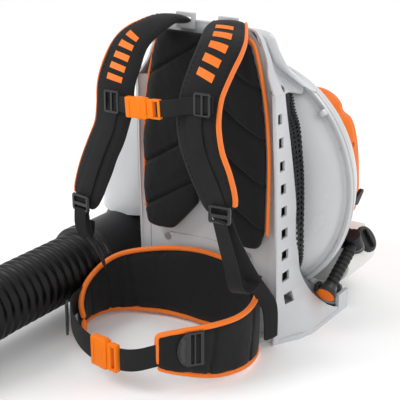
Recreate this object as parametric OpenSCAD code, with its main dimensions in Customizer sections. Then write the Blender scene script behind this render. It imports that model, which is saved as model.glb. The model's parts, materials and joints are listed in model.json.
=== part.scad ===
// Backpack leaf blower: frame with harness, scroll fan, two-stroke engine,
// elbow, pleated hose and telescoping blower tubes.
// X runs to the wearer's left, Y from the wearer to the engine, Z up; Z = 0 is the floor.

/* [Frame] */
// Height of the frame's top edge above the floor
frame_h = 497; // [480:1:505]
// Half width of the side rails, to their outer face
rail_x = 131; // [128:1:134]
// Thickness of each side rail
rail_t = 12; // [8:1:14]
// Number of slots along each rail
slot_count = 9; // [5:1:9]
// Half width of the foot
foot_x = 166; // [160:1:175]
// Thickness of the foot plate
foot_t = 8; // [6:1:10]

/* [Fan housing] */
// Fan axis, distance to the side of the frame's centre plane
fan_x = -10; // [-14:1:-6]
// Fan axis height above the floor
fan_z = 224; // [222:1:226]
// Radius of the fan wheel
fan_r = 142; // [130:1:143]
// Number of fan blades
blade_count = 12; // [8:1:16]
// Radius of the joint flange between the housing halves
rim_r = 209.5; // [208:0.5:210]
// Wall thickness of the moulded shells
wall = 3; // [2:0.5:4]
// Radius of the housing's flat front
grille_r = 145; // [143:1:147]
// Number of windows in one row of the grille
window_count = 14; // [8:1:15]

/* [Air path] */
// Outer radius of the pleated hose
hose_r = 52; // [50:1:54]
// Hose axis, distance from the frame's centre plane
hose_x = -215; // [-218:1:-213]
// Hose axis height above the floor
hose_z = 80; // [78:1:84]
// Outer radius of the elbow pipe
elbow_r = 56; // [55:1:56]
// Droop of the blower tubes below level, degrees
tube_droop = 3; // [2:0.5:3.5]
// Outer radius of the handle tube
tube_r = 44; // [43:1:44]
// Outer radius of the nozzle's mouth
mouth_r = 35; // [33:1:36]
// Length of the nozzle tube
nozzle_len = 320; // [300:5:330]

/* [Harness] */
// Width of the shoulder straps
strap_w = 66; // [60:1:70]
// Thickness of the shoulder straps
strap_t = 15; // [12:1:16]
// Thickness of the back pad
pad_t = 24; // [20:1:26]
// Width of the harness webbing
web_w = 25; // [20:1:30]
// Thickness of the hip belt
belt_t = 13; // [10:1:14]

/* [Starter] */
// Length of the starter arm from its hinge to the grip's face
arm_len = 118; // [112:1:122]
// Radius of the starter grip's disc
disc_r = 18; // [16:1:19]

/* [Hidden] */
fine = 96;
soft = 24;
gap = 0.05;          // running clearance of pins and tubes
clear = 0.3;         // clearance between still neighbours
plate_y = 3;         // front face of the back plate
plate_t = 5;
grille_y = 48;       // front of the grille's window band
dome_y = 75;         // front of the fan housing
rim_y = 112;         // front of the joint flange
rear_y = 185;        // back of the fan housing
bulk_y = 150;        // bulkhead behind the fan
collar_z = 132;      // lower edge of the duct's collar
collar_r = 66;
bend_r = 60;         // bend radius of the elbow
outlet_y = 110;
crank_y = 226;       // cylinder axis along the crankshaft
hinge_up_y = -150;   // pitch bend of the hose
hinge_side_y = -255; // yaw bend of the hose
bend_gap = 17;       // hose set back from each bend
arm_tilt = 121.5;    // direction of the starter arm about X
arm_at = [163, 205, 112];
cap_at = [151, 258, 91];
cap_tilt = 56;
handle_s = 112;      // handle ring's start along the tubes
choke_y = 226;
choke_z = 176;
primer_at = [52.5, 212, 176];

// A cylinder from a to b along Y at (x, z)
module rod_y(x, z, a, b, r, fn = fine) {
    translate([x, a, z]) rotate([-90, 0, 0]) cylinder(h = b - a, r = r, $fn = fn);
}

// A cylinder from a to b along X at (y, z)
module rod_x(y, z, a, b, r, fn = fine) {
    translate([a, y, z]) rotate([0, 90, 0]) cylinder(h = b - a, r = r, $fn = fn);
}

// A box between two corners
module box(a, b) {
    translate(a) cube(b - a);
}

// A shape turned about the fan axis from [radius, y] points
module on_fan_axis(points) {
    translate([fan_x, 0, fan_z]) rotate([-90, 0, 0]) rotate_extrude($fn = fine) polygon(points);
}

// An outline in X and Z pushed from a to b along Y
module slab_y(points, a, b) {
    translate([0, b, 0]) rotate([90, 0, 0]) linear_extrude(b - a) polygon(points);
}

// An outline in Y and Z pushed from a to b along X
module slab_x(points, a, b) {
    translate([a, 0, 0]) rotate([90, 0, 90]) linear_extrude(b - a) polygon(points);
}

// Children placed along the blower tubes: local Z is the air's way out, local Y is up
module along_tube() {
    translate([hose_x, hinge_side_y, hose_z]) rotate([90 + tube_droop, 0, 0]) children();
}

// Children placed along the starter arm: local Z runs from the hinge to the grip
module along_arm() {
    translate(arm_at) rotate([arm_tilt, 0, 0]) children();
}

// A hollow tube along local Z
module tube(a, b, r_out, r_in) {
    translate([0, 0, a]) difference() {
        cylinder(h = b - a, r = r_out, $fn = fine);
        translate([0, 0, -1]) cylinder(h = b - a + 2, r = r_in, $fn = fine);
    }
}

// A band that follows a list of points, w wide along X and t thick
module band(points, w, t) {
    for (i = [0:len(points) - 2]) hull() {
        translate(points[i] - [w / 2, 0, 0]) rotate([0, 90, 0]) cylinder(h = w, d = t, $fn = soft);
        translate(points[i + 1] - [w / 2, 0, 0]) rotate([0, 90, 0])
            cylinder(h = w, d = t, $fn = soft);
    }
}

// An upright band in plan through [x, y, z low, z high] points
module upright_band(points, t) {
    for (i = [0:len(points) - 2]) hull() {
        for (p = [points[i], points[i + 1]])
            translate([p[0], p[1], p[2]]) cylinder(h = p[3] - p[2], d = t, $fn = soft);
    }
}

// Points mirrored to the other side, in reverse order
function mirrored(points) = [for (i = [len(points) - 1:-1:0]) [-points[i][0], points[i][1]]];
function both_sides(points) = concat(points, mirrored(points));

// ---------------------------------------------------------------- frame

module base_foot() color("#D4D5D6") difference() {
    union() {
        linear_extrude(foot_t) polygon(both_sides([[0, -12], [110, -12], [140, 0], [158, 34],
            [foot_x, 68], [foot_x, 184], [112, 192], [108, 296], [0, 296]]));
        for (side = [-1, 1]) translate([side * (foot_x - 3) - 3, 150, 0]) cube([6, 34, 34]);
        box([-118, plate_y + 8, 0], [118, plate_y + 16, 40]);
    }
    for (x = [-70, 0, 70]) translate([x - 20, 60, -1]) cube([40, 90, foot_t + 2]);
    rod_y(fan_x, fan_z, rim_y - clear, rim_y + 10 + clear, rim_r + clear);
}

module back_plate() color("#CFD0D2") difference() {
    slab_y(both_sides([[0, foot_t], [117, foot_t], [117, 300], [108, 399], [0, 399]]),
        plate_y, plate_y + plate_t);
    for (x = [-85, 85], z = [130, 310]) rod_y(x, z, 0, 20, 4);
    for (x = [-77, 77]) rod_y(x, 136, 0, 20, 2.5);
}

rail_outline = [[-12, 399], [-5, 221], [0, 93], [-6, foot_t], [160, foot_t], [128, 18], [98, 40],
    [80, 78], [66, 137], [54, 225], [36, 320], [18, 399]];

module side_rails() color("#D6D7D9") for (side = [0, 1]) mirror([side, 0, 0]) difference() {
    slab_x(rail_outline, rail_x - rail_t, rail_x);
    for (i = [0:slot_count - 1]) {
        low = 68 + i * 37.2;
        width = 20 - i * 1.5;
        translate([rail_x - rail_t - 1, 31 - i * 3.4 - width / 2, low - 7])
            cube([rail_t + 2, width, 14]);
    }
}

module housing_envelope(grow) on_fan_axis([[0, dome_y - grow], [grille_r + grow, dome_y - grow],
    [175 + grow, 83 - grow], [190 + grow, 95 - grow], [rim_r + grow, rim_y - 8 - grow],
    [rim_r + grow, 124 + grow], [0, 124 + grow]]);

module upper_frame() color("#D4D5D6") difference() {
    hull() {
        slab_y(both_sides([[0, 400], [108, 400], [90, 470], [82, 490], [66, frame_h]]),
            plate_y, plate_y + 4);
        slab_y(both_sides([[0, 400], [116, 400], [88, 462], [60, 486]]), 52, 54);
        slab_y(both_sides([[0, 412], [84, 412], [60, 452]]), 104, 106);
    }
    hull() {
        slab_y(both_sides([[0, 396], [103, 396], [80, 484], [64, frame_h - 4]]), 7, 8);
        slab_y(both_sides([[0, 396], [110, 396], [82, 460], [58, 481]]), 50, 51);
        slab_y(both_sides([[0, 396], [78, 408], [56, 447]]), 100, 101);
    }
    housing_envelope(1);
    box([-180, 6, 380], [180, 120, 400]);
}

module lower_cover() color("#CBCCCE") difference() {
    slab_y(both_sides([[0, 12], [84, 12], [84, 128], [72, 144], [0, 148]]), plate_y - 2, plate_y);
    for (x = [-77, 77]) rod_y(x, 136, 0, 20, 2.5);
}

// A pan-head screw along Y: head in front, shank behind
module screw_y(x, z, y, head, shank, len) {
    rod_y(x, z, y - 2.5, y, head, soft);
    rod_y(x, z, y, y + len, shank, soft);
}

// Children at each rim screw, local Z along Y from y = 100; the scroll takes the place of two
module at_rim_screws() for (i = [0:7]) if (i != 3 && i != 4) translate([fan_x, 100, fan_z])
    rotate([0, -22.5 - i * 45, 0]) translate([rim_r - 4.5, 0, 0]) rotate([-90, 0, 0]) children();

module screws() color("#8A8C8F") {
    for (x = [-77, 77]) screw_y(x, 136, plate_y - 2, 5.5, 2.45, plate_t + 1.8);
    at_rim_screws() {
        translate([0, 0, 9.5]) cylinder(h = 2.5, r = 4, $fn = soft);
        translate([0, 0, 12]) cylinder(h = 13, r = 1.95, $fn = soft);
    }
}

module strap_anchors() color("#B9BBBE") for (side = [-1, 1]) difference() {
    translate([side * 38 - 16, -4, frame_h - 12]) cube([32, 6.5, 24]);
    translate([side * 38 - 11, -10, frame_h - 1]) cube([22, 20, 7]);
}

module av_mounts() color("#2B2B2D") for (x = [-85, 85], z = [130, 310])
    rod_y(x, z, plate_y + plate_t, grille_y - 4, 13, 32);

grille_outline = both_sides([[0, 52], [60, 52], [100, 70], [122, 96], [133, 130], [135, 186],
    [134, 240], [130, 284], [121, 331], [108, 358], [94, 385], [60, 396], [0, 396]]);

module intake_grille() color("#1C1C1E") difference() {
    union() {
        slab_y(grille_outline, grille_y - 4, grille_y);
        slab_y(grille_outline, grille_y, dome_y);
    }
    slab_y([for (p = grille_outline) [p[0] * 0.976, (p[1] - 220) * 0.98 + 220]], grille_y, dome_y + 1);
    for (side = [0, 1]) mirror([side, 0, 0])
        slab_x([for (p = rail_outline) [p[0] + clear, p[1]]], rail_x - rail_t - clear, rail_x + clear);
    for (i = [0:window_count - 1], y = [grille_y + 5, grille_y + 16])
        box([-180, y, 130 + i * 16], [180, y + 8, 141 + i * 16]);
}

// ---------------------------------------------------------------- fan housing

// Outer shape of the scroll's outlet, from the housing's shoulder down to the collar
module duct_shape(g) {
    hull() {
        translate([-192 - g, 84 - g, 300]) cube([44 + g, 74 + 2 * g, 34 + g]);
        translate([-242 - g, 80 - g, 208]) cube([84 + g, 84 + 2 * g, 20]);
    }
    hull() {
        translate([-242 - g, 80 - g, 208]) cube([84 + g, 84 + 2 * g, 20]);
        translate([hose_x, outlet_y, 160]) cylinder(h = 4, r = collar_r + g, $fn = soft * 2);
    }
}

module fan_housing_front() color("#D8D9DB") difference() {
    union() {
        on_fan_axis([[100, dome_y], [grille_r, dome_y], [160, 77], [175, 83], [188, 92], [196.5, 103],
            [200.5, rim_y], [rim_r, rim_y], [rim_r, 117], [196.5, 117], [196.5, rim_y], [192.5, 104],
            [185, 95], [172, 86], [159, 80], [grille_r, dome_y + wall], [100, dome_y + wall]]);
    }
    duct_shape(clear);
    translate([hose_x, outlet_y, 20]) cylinder(h = 142, r = collar_r + clear, $fn = fine);
    at_rim_screws() cylinder(h = 30, r = 2, $fn = fine);
}

module fan_housing_rear() color("#D2D3D5") difference() {
    on_fan_axis([[20, bulk_y], [191.5, bulk_y], [196.5, 138], [196.5, 117.1], [rim_r, 117.1],
        [rim_r, 122], [201.5, 122], [200.5, 142], [195, 160], [183, 174], [162, 184], [150, rear_y],
        [150, rear_y - wall], [161, 181], [181, 171], [192, 158], [192.5, bulk_y + 4],
        [20, bulk_y + 4]]);
    duct_shape(clear);
    translate([hose_x, outlet_y, 20]) cylinder(h = 142, r = collar_r + clear, $fn = fine);
    at_rim_screws() cylinder(h = 30, r = 2, $fn = fine);
    for (x = [-58, 58], z = [-58, 58]) rod_y(fan_x + x, fan_z + z, bulk_y - 1, bulk_y + 5, 3);
}

module volute_duct() color("#D8D9DB") difference() {
    union() {
        duct_shape(0);
        translate([hose_x, outlet_y, collar_z]) cylinder(h = 29, r = collar_r, $fn = fine);
    }
    duct_shape(-wall);
    translate([hose_x, outlet_y, collar_z - 1]) cylinder(h = 33, r = elbow_r + 1, $fn = fine);
    translate([hose_x, outlet_y, collar_z - 1]) cylinder(h = 12, r = elbow_r + 5, $fn = fine);
    rod_y(fan_x, fan_z, 79, bulk_y - 1, 186);
    box([hose_x - 30, 36, collar_z - 1], [hose_x + 30, 58, collar_z + 8]);
    box([-300, 60, 333], [0, 200, 340]);
}

module fan_wheel() color("#3A3B3D") translate([fan_x, 0, fan_z]) rotate([-90, 0, 0]) difference() {
    union() {
        translate([0, 0, 140]) cylinder(h = 3, r = fan_r, $fn = fine);
        translate([0, 0, 98]) cylinder(h = 44, r = 26, $fn = fine);
        tube(87, 90, fan_r, 98);
        for (i = [0:blade_count - 1]) rotate([0, 0, i * 360 / blade_count]) translate([0, 0, 89])
            linear_extrude(52) polygon([for (k = [0:4]) blade_point(k, 1.2),
                for (k = [4:-1:0]) blade_point(k, -1.2)]);
    }
    translate([0, 0, 90]) cylinder(h = 60, r = 8, $fn = fine);
}
function blade_point(k, t) = let (r = 62 + k * (fan_r - 64) / 4, a = k * k * 2.2)
    [r * cos(a) - t * sin(a), r * sin(a) + t * cos(a)];

// ---------------------------------------------------------------- engine

module crankcase() color("#A9ABAE") difference() {
    union() {
        rod_y(fan_x, fan_z, 184, 252, 40);
        box([fan_x - 34, 196, fan_z], [fan_x + 34, 250, fan_z + 40]);
        for (x = [-58, 58], z = [-58, 58]) rod_y(fan_x + x, fan_z + z, bulk_y + 4, 190, 7, 32);
        box([fan_x - 65, 184, fan_z - 65], [fan_x + 65, 190, fan_z + 65]);
    }
    rod_y(fan_x, fan_z, 180, 256, 13);
    rod_y(fan_x, fan_z, 206, 246, 34);
    translate([fan_x, crank_y, fan_z + 10]) cylinder(h = 40, r = 21, $fn = fine);
}

module main_bearings() color("#B8BABD") for (y = [192, 247]) difference() {
    rod_y(fan_x, fan_z, y, y + 5, 13);
    rod_y(fan_x, fan_z, y - 1, y + 6, 8 + gap);
}

module crankshaft() color("#8F9194") {
    difference() {
        union() {
            rod_y(fan_x, fan_z, 92, 214, 8);
            rod_y(fan_x, fan_z, 238, 268, 8);
            rod_y(fan_x, fan_z, 208, 214, 28);
            rod_y(fan_x, fan_z, 238, 244, 28);
            rod_y(fan_x, fan_z + 18, 213, 239, 6);
        }
        box([fan_x + 16, 206, fan_z - 40], [fan_x + 40, 246, fan_z + 40]);
        box([fan_x - 40, 206, fan_z - 40], [fan_x - 16, 246, fan_z + 40]);
    }
}

// The rod hangs from the piston: its big end is left open, above the crank pin's circle
module connecting_rod() color("#9A9C9F") difference() {
    union() {
        rod_y(fan_x, fan_z + 37, 221, 231, 10);
        rod_y(fan_x, fan_z + 68, 221, 231, 8);
        box([fan_x - 4, 222, fan_z + 44], [fan_x + 4, 230, fan_z + 62]);
    }
    rod_y(fan_x, fan_z + 37, 220, 232, 6 + gap);
    rod_y(fan_x, fan_z + 68, 220, 232, 4 + gap);
}

module piston() color("#C2C4C6") difference() {
    union() {
        translate([fan_x, crank_y, fan_z + 58]) cylinder(h = 24, r = 20, $fn = fine);
        rod_y(fan_x, fan_z + 68, 208, 244, 4);
    }
    difference() {
        translate([fan_x, crank_y, fan_z + 56]) cylinder(h = 22, r = 17, $fn = fine);
        rod_y(fan_x, fan_z + 68, 200, 250, 4);
    }
}

module cylinder_barrel() color("#B4B6B9") difference() {
    union() {
        translate([fan_x, crank_y, fan_z + 40]) cylinder(h = 62, r = 27, $fn = fine);
        for (i = [0:7]) translate([fan_x - 40, crank_y - 36, fan_z + 47 + i * 7.2]) cube([80, 72, 2.5]);
    }
    translate([fan_x, crank_y, fan_z + 39]) cylinder(h = 50, r = 20.1, $fn = fine);
    translate([fan_x, crank_y, fan_z + 80]) cylinder(h = 30, r = 5, $fn = fine);
}

module spark_plug() color("#E6E3DC") translate([fan_x, crank_y, fan_z]) {
    translate([0, 0, 90]) cylinder(h = 12, r = 5, $fn = fine);
    translate([0, 0, 102]) cylinder(h = 6, r = 9, $fn = 6);
    translate([0, 0, 108]) cylinder(h = 16, r = 5, $fn = fine);
}

module plug_boot() color("#232325") translate([fan_x, crank_y, fan_z]) difference() {
    union() {
        translate([0, 0, 109]) cylinder(h = 20, r = 10, $fn = fine);
        translate([-34, -4, 119]) cube([30, 8, 8]);
    }
    translate([0, 0, 108]) cylinder(h = 16, r = 5, $fn = fine);
}

module flywheel() color("#9C9EA1") difference() {
    union() {
        rod_y(fan_x, fan_z, 160, 176, 48);
        for (i = [0:9]) translate([fan_x, 0, fan_z]) rotate([0, i * 36, 0])
            translate([22, 155, -1.5]) cube([24, 7, 3]);
    }
    rod_y(fan_x, fan_z, 150, 180, 8);
}

module ignition_module() color("#303134")
    box([fan_x - 22, 158, fan_z + 49], [fan_x + 22, 176, fan_z + 74]);

module muffler() color("#6E7073") difference() {
    union() {
        box([-112, 200, 235], [-57, 266, 298]);
        box([-57, 212, 273], [-50, 240, 298]);
    }
    box([-109, 203, 238], [-60, 263, 295]);
    rod_y(-96, 252, 260, 272, 7);
    rod_x(crank_y, 286, -63, -45, 9);
}

module starter_housing() color("#242426") difference() {
    union() {
        rod_y(fan_x, fan_z, 254, 292, 46);
        for (a = [45, 135, 225, 315]) rod_y(fan_x + 46 * cos(a), fan_z + 46 * sin(a), 254, 262, 6, 32);
    }
    rod_y(fan_x, fan_z, 250, 288, 43);
    for (i = [0:9]) translate([fan_x, 0, fan_z]) rotate([0, i * 36, 0])
        translate([20, 280, -2]) cube([20, 20, 4]);
}

module starter_pulley() color("#D8D2C0") difference() {
    union() {
        rod_y(fan_x, fan_z, 270, 273, 34);
        rod_y(fan_x, fan_z, 273, 278, 28);
        rod_y(fan_x, fan_z, 278, 281, 34);
        rod_y(fan_x, fan_z, 281, 284, 10);
    }
}

module carburettor() color("#A4A6A9") difference() {
    union() {
        box([46, 206, 200], [86, 246, 240]);
        box([31, 212, 208], [46, 240, 234]);
        rod_x(choke_y, choke_z, 62, 84, 9, 32);
        box([62, 218, choke_z], [84, 234, 201]);
    }
    rod_x(crank_y, 221, 20, 90, 9);
    rod_x(choke_y, choke_z, 50, 90, 4 + gap);
    translate([primer_at[0], primer_at[1], 190]) cylinder(h = 22, r = 4, $fn = fine);
}

module choke_lever() color("#1E1E20") {
    rod_x(choke_y, choke_z, 62, 154, 4);
    hull() {
        rod_x(choke_y, choke_z, 149, 155, 7, 32);
        rod_x(choke_y + 18, choke_z + 12, 149, 155, 4, 32);
    }
}

module primer_bulb() color("#C9C3A8") {
    translate(primer_at + [0, 0, 8]) cylinder(h = 21, r = 4 - gap, $fn = fine);
    translate(primer_at) cylinder(h = 9, r1 = 7, r2 = 8.5, $fn = fine);
}

module air_filter() color("#B9A27A") difference() {
    box([37.5, 252, 190], [79, 290, 282]);
    box([43, 258, 196], [73, 291, 276]);
}

module filter_cover() color("#232325") difference() {
    union() {
        box([31, 293, 182], [85, 320, 290]);
        for (z = [196, 276]) rod_y(58, z, 320, 326, 9);
    }
    box([35, 290, 186], [81, 316, 286]);
    for (i = [0:5]) box([43, 314, 206 + i * 11], [73, 322, 210 + i * 11]);
}

hood_outline = [[-118, 150], [-118, 306], [-98, 338], [-60, 357], [64, 359], [98, 348],
    [112, 328], [128, 313], [138, 283], [145, 242], [147, 200], [143, 150]];
function shrunk(points, k) = [for (p = points) [(p[0] - 12) * k + 12, (p[1] - 250) * k + 250]];

module engine_hood() color("#EE7420") difference() {
    hull() {
        slab_y(shrunk(hood_outline, 0.97), 191, 192);
        slab_y(hood_outline, 222, 262);
        slab_y(shrunk(hood_outline, 0.86), 318, 320);
    }
    hull() {
        slab_y(shrunk(hood_outline, 0.95), 188, 191);
        slab_y(shrunk(hood_outline, 0.975), 222, 262);
        slab_y(shrunk(hood_outline, 0.84), 315, 317);
    }
    box([-110, 180, 140], [139, 310, 170]);
    box([29, 280, 180], [87, 330, 292]);
    rod_x(choke_y, choke_z, 100, 160, 6);
    for (i = [0:5]) box([-92 + i * 20, 296, 300], [-84 + i * 20, 330, 330]);
}

// ---------------------------------------------------------------- fuel tank

tank_outline = [[-112, 30], [132, 30], [142, 34], [160, 54], [160, 78], [138, 108], [-112, 108]];

// Children on the filler's axis, local Z out of the neck
module at_cap() translate(cap_at) rotate([0, cap_tilt, 0]) children();

module fuel_tank() color("#E9E8E2") difference() {
    union() {
        slab_y(tank_outline, 194, 300);
        for (x = [-66, 66]) box([x - 14, 214, foot_t], [x + 14, 280, 31]);
        at_cap() translate([0, 0, -10]) cylinder(h = 16, r = 20, $fn = fine);
    }
    box([-108, 198, 34], [136, 296, 104]);
    at_cap() translate([0, 0, -30]) cylinder(h = 60, r = 16, $fn = fine);
}

module fuel_cap() color("#1B1B1D") at_cap() {
    translate([0, 0, -4]) cylinder(h = 12, r = 16 - gap, $fn = fine);
    translate([0, 0, 6.5]) cylinder(h = 9, r = 23, $fn = fine);
    translate([-17, -3, 15]) cube([34, 6, 7]);
}

// ---------------------------------------------------------------- starter arm

module start_hub() color("#2A2A2C") difference() {
    union() {
        rod_x(205, 116, 128, 147, 20);
        along_arm() rotate([90, 0, 0]) {
            translate([0, 0, 12.3]) cylinder(h = 5, r = 13, $fn = fine);
            translate([0, 0, -17.3]) cylinder(h = 5, r = 13, $fn = fine);
            translate([0, 0, -17]) cylinder(h = 34, r = 4, $fn = fine);
        }
        along_arm() for (side = [-1, 1]) translate([-24, side * 14.8 - 2.5, -13]) cube([16, 5, 26]);
        box([108, 188, 110], [134, 205, 130]);
    }
    slab_y([[100, 60], [160.3, 60], [160.3, 78.3], [138.3, 108.4], [100, 108.4]], 193.5, 305);
}

module start_arm() color("#222224") along_arm() difference() {
    union() {
        rotate([90, 0, 0]) translate([0, 0, -12]) cylinder(h = 24, r = 13, $fn = fine);
        cylinder(h = arm_len - 22, r = 9, $fn = fine);
        for (i = [0:7]) translate([0, 0, 22 + i * 9]) cylinder(h = 5, r = 10.5, $fn = fine);
    }
    rotate([90, 0, 0]) translate([0, 0, -20]) cylinder(h = 40, r = 4 + gap, $fn = fine);
    translate([0, 0, 5]) cylinder(h = arm_len, r = 3, $fn = fine);
}

module start_grip() color("#E8640F") along_arm() {
    translate([0, 0, arm_len - 21.7]) cylinder(h = 12, r = 13, $fn = fine);
    translate([0, 0, arm_len - 10]) cylinder(h = 10, r = disc_r, $fn = fine);
}

module start_rope() color("#5A5B5E") along_arm()
    translate([0, 0, 8]) cylinder(h = arm_len - 29.7, r = 2.5, $fn = fine);

// ---------------------------------------------------------------- air path

module elbow() color("#1F1F21") translate([hose_x, outlet_y, hose_z + bend_r]) {
    translate([0, 0, 0]) tube(0, 20, elbow_r, elbow_r - wall);
    translate([0, -bend_r, 0]) rotate([0, -90, 0]) rotate([0, 0, 90]) rotate_extrude(angle = 90, $fn = fine)
        translate([bend_r, 0]) difference() {
            circle(r = elbow_r, $fn = fine);
            circle(r = elbow_r - wall, $fn = fine);
        }
    translate([0, -bend_r, -bend_r]) rotate([90, 0, 0]) {
        tube(0, 86, elbow_r, elbow_r - wall);
        tube(84, 100, elbow_r, 43);
        tube(99, 120, 46, 43);
    }
}

module clamp_rear() color("#2C2C2E") {
    translate([hose_x, -50.5, hose_z]) rotate([90, 0, 0]) tube(0, 12, 58, 50);
    translate([hose_x - 8, -61, hose_z + 57]) cube([16, 9, 7]);
}

module hose_rear() color("#18181A") translate([hose_x, 0, hose_z]) rotate([90, 0, 0])
    union() {
        tube(50.2, 72, 50, 46 + gap);
        tube(63, -hinge_up_y - bend_gap, hose_r, 46);
    }

module hose_mid() color("#18181A") translate([hose_x, 0, hose_z]) rotate([90, 0, 0])
    tube(-hinge_up_y + bend_gap, -hinge_side_y - bend_gap, hose_r, 46);

module hose_front() color("#18181A") along_tube() tube(bend_gap, 84, hose_r, 46);

module hose_cuff() color("#252527") along_tube() tube(84, 108, 55, tube_r + gap);

module swivel_tube() color("#1F1F21") along_tube() difference() {
    union() {
        translate([0, 0, 86]) cylinder(h = 144, r = tube_r, $fn = fine);
        translate([0, 0, 75]) cylinder(h = 8.8, r = 45.5, $fn = fine);
        translate([0, 0, 82]) cylinder(h = 6, r = tube_r, $fn = fine);
    }
    translate([0, 0, 70]) cylinder(h = 170, r = 41, $fn = fine);
}

module handle_shell() color("#262628") along_tube() difference() {
    union() {
        tube(handle_s, handle_s + 34, 50, tube_r + gap);
        translate([-15, 48, handle_s + 3]) cube([30, 86, 25]);
        translate([-18, 128, handle_s - 2]) cube([36, 26, 56]);
    }
    translate([0, 0, handle_s - 5]) cylinder(h = 60, r = tube_r + gap, $fn = fine);
    translate([-5.5, 120, handle_s + 33]) cube([11, 28, 15]);
    translate([-20, 138, handle_s + 40]) rotate([0, 90, 0]) cylinder(h = 40, r = 2.5, $fn = fine);
    translate([-20, 142, handle_s + 16]) rotate([0, 90, 0]) cylinder(h = 8, r = 3 + gap, $fn = fine);
}

module throttle_trigger() color("#E8640F") along_tube() {
    translate([-18, 138, handle_s + 40]) rotate([0, 90, 0]) cylinder(h = 36, r = 2.45, $fn = fine);
    translate([-5, 106, handle_s + 36.5]) cube([10, 36, 8]);
}

module stop_lever() color("#E8640F") along_tube() {
    translate([-24, 142, handle_s + 16]) rotate([0, 90, 0]) cylinder(h = 10, r = 3, $fn = fine);
    translate([-24, 139, handle_s + 12]) cube([5.5, 24, 8]);
}

module blower_tube() color("#1D1D1F") along_tube() difference() {
    union() {
        translate([0, 0, 200]) cylinder(h = 260, r = 41 - gap, $fn = fine);
        tube(230.2, 246, 46, 40);
        tube(444, 462, 43, 40);
    }
    translate([0, 0, 190]) cylinder(h = 290, r = 38.5, $fn = fine);
}

module nozzle_tube() color("#1D1D1F") along_tube() difference() {
    union() {
        translate([0, 0, 372]) cylinder(h = nozzle_len - 90, r = 38.5 - gap, $fn = fine);
        translate([0, 0, 281 + nozzle_len]) cylinder(h = 60, r1 = 38.5 - gap, r2 = mouth_r, $fn = fine);
        translate([0, 0, 340 + nozzle_len]) cylinder(h = 32, r = mouth_r, $fn = fine);
    }
    translate([0, 0, 371]) cylinder(h = nozzle_len - 89, r = 36, $fn = fine);
    translate([0, 0, 281 + nozzle_len]) cylinder(h = 60, r1 = 36, r2 = mouth_r - 2.5, $fn = fine);
    translate([0, 0, 340 + nozzle_len]) cylinder(h = 40, r = mouth_r - 2.5, $fn = fine);
}

// ---------------------------------------------------------------- harness

module back_pad() color("#262628") slab_y(both_sides([[0, 275], [13, 262], [13, 207], [62, 156],
    [115, 158], [118.5, 230], [118.5, 320], [107, 400], [86, 480], [70, 484.5], [0, 484.5]]),
    plate_y - 0.5 - pad_t, plate_y - 0.5);

strap_left_route = [[-42, -14, 499], [-58, -68, 495], [-67, -98, 476], [-66, -138, 422],
    [-64, -147, 390], [-70, -151, 352], [-90, -156, 300], [-110, -161, 254]];
strap_right_route = [[46, -14, 499], [61, -46, 499], [80, -86, 485], [83, -139, 429],
    [82, -147, 396], [88, -151, 365], [106, -156, 325], [128, -161, 284]];

module strap_left() color("#242426") band(strap_left_route, strap_w - 6, strap_t);

module strap_right() color("#242426") band(strap_right_route, strap_w - 6, strap_t);

module harness_webbing() color("#1C1C1E") {
    band([[-114, -165, 228], [-128, -120, 150], [-137, -22, 100]], web_w, 2.4);
    band([[130, -165, 262], [134, -104, 180], [138, -20, 100]], web_w, 2.4);
    box([-46.9, -160, 389], [-29.3, -157.5, 414]);
    box([34.3, -163, 395], [83.9, -160.5, 420]);
}

// A flat adjuster with two bar windows, front face at y
module adjuster(x, z, y, w, h) difference() {
    translate([x - w / 2, y, z - h / 2]) cube([w, 5, h]);
    for (k = [-1, 1]) translate([x - w / 2 + 4, y - 1, z + k * h / 5 - h / 12]) cube([w - 8, 7, h / 6]);
}

// A slider of the hip belt, centred, w wide
module belt_slider(w) difference() {
    box([-w / 2, -3, -27], [w / 2, 3, 27]);
    for (x = [-w / 4, w / 8]) box([x, -4, -18], [x + w / 6, 4, 18]);
}

module strap_adjusters() color("#3A3B3E") {
    adjuster(-113, 237, -176, 34, 26);
    adjuster(131, 271, -176, 34, 26);
    adjuster(-60, 401, -164, 26, 34);
    adjuster(97, 419, -164, 26, 34);
    translate([98, -214, 52]) rotate([0, 0, 52]) belt_slider(34);
    translate([-106.6, -217, 52]) rotate([0, 0, -34.5]) belt_slider(24);
}

module chest_buckle() color("#F07A1C") {
    box([-29, -166, 386], [5, -154, 417]);
    difference() {
        box([5.5, -165, 388], [34, -155, 415]);
        box([27, -167, 392], [30, -153, 411]);
    }
}

module belt_back() color("#242426") upright_band([[-116.5, -34, 12, 108], [-62, -17, 8, 126],
    [0, -13, 8, 132], [62, -17, 8, 126], [116.5, -34, 10, 112]], belt_t);

belt_wing_route = [[127, -48, 9, 108], [141, -80, 8, 102], [141, -122, 10, 98], [122, -166, 14, 98],
    [88, -210, 30, 94], [66, -232, 40, 92]];

belt_wing_left_route = [[127, -48, 9, 106], [149, -78, 12, 104], [154.5, -116, 16, 98],
    [148, -156, 22, 92], [124, -192, 28, 90], [92, -214, 32, 86]];

module belt_wings() color("#242426") {
    upright_band(belt_wing_route, belt_t);
    mirror([1, 0, 0]) upright_band(belt_wing_left_route, belt_t);
}

module belt_webbing() color("#1C1C1E") {
    upright_band([[60, -246, 42, 80], [40, -257, 38, 76], [22, -260, 36, 74]], 2.6);
    upright_band([[-84, -222, 36, 74], [-60, -240, 34, 72], [-33, -250, 34, 72]], 2.6);
}

module belt_buckle() color("#F07A1C") {
    translate([-6, -256, 54]) rotate([0, 0, -9]) {
        box([-26, -8, -23], [6, 6, 23]);
        box([7, -7, -20], [27, 5, 20]);
    }
}

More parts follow.
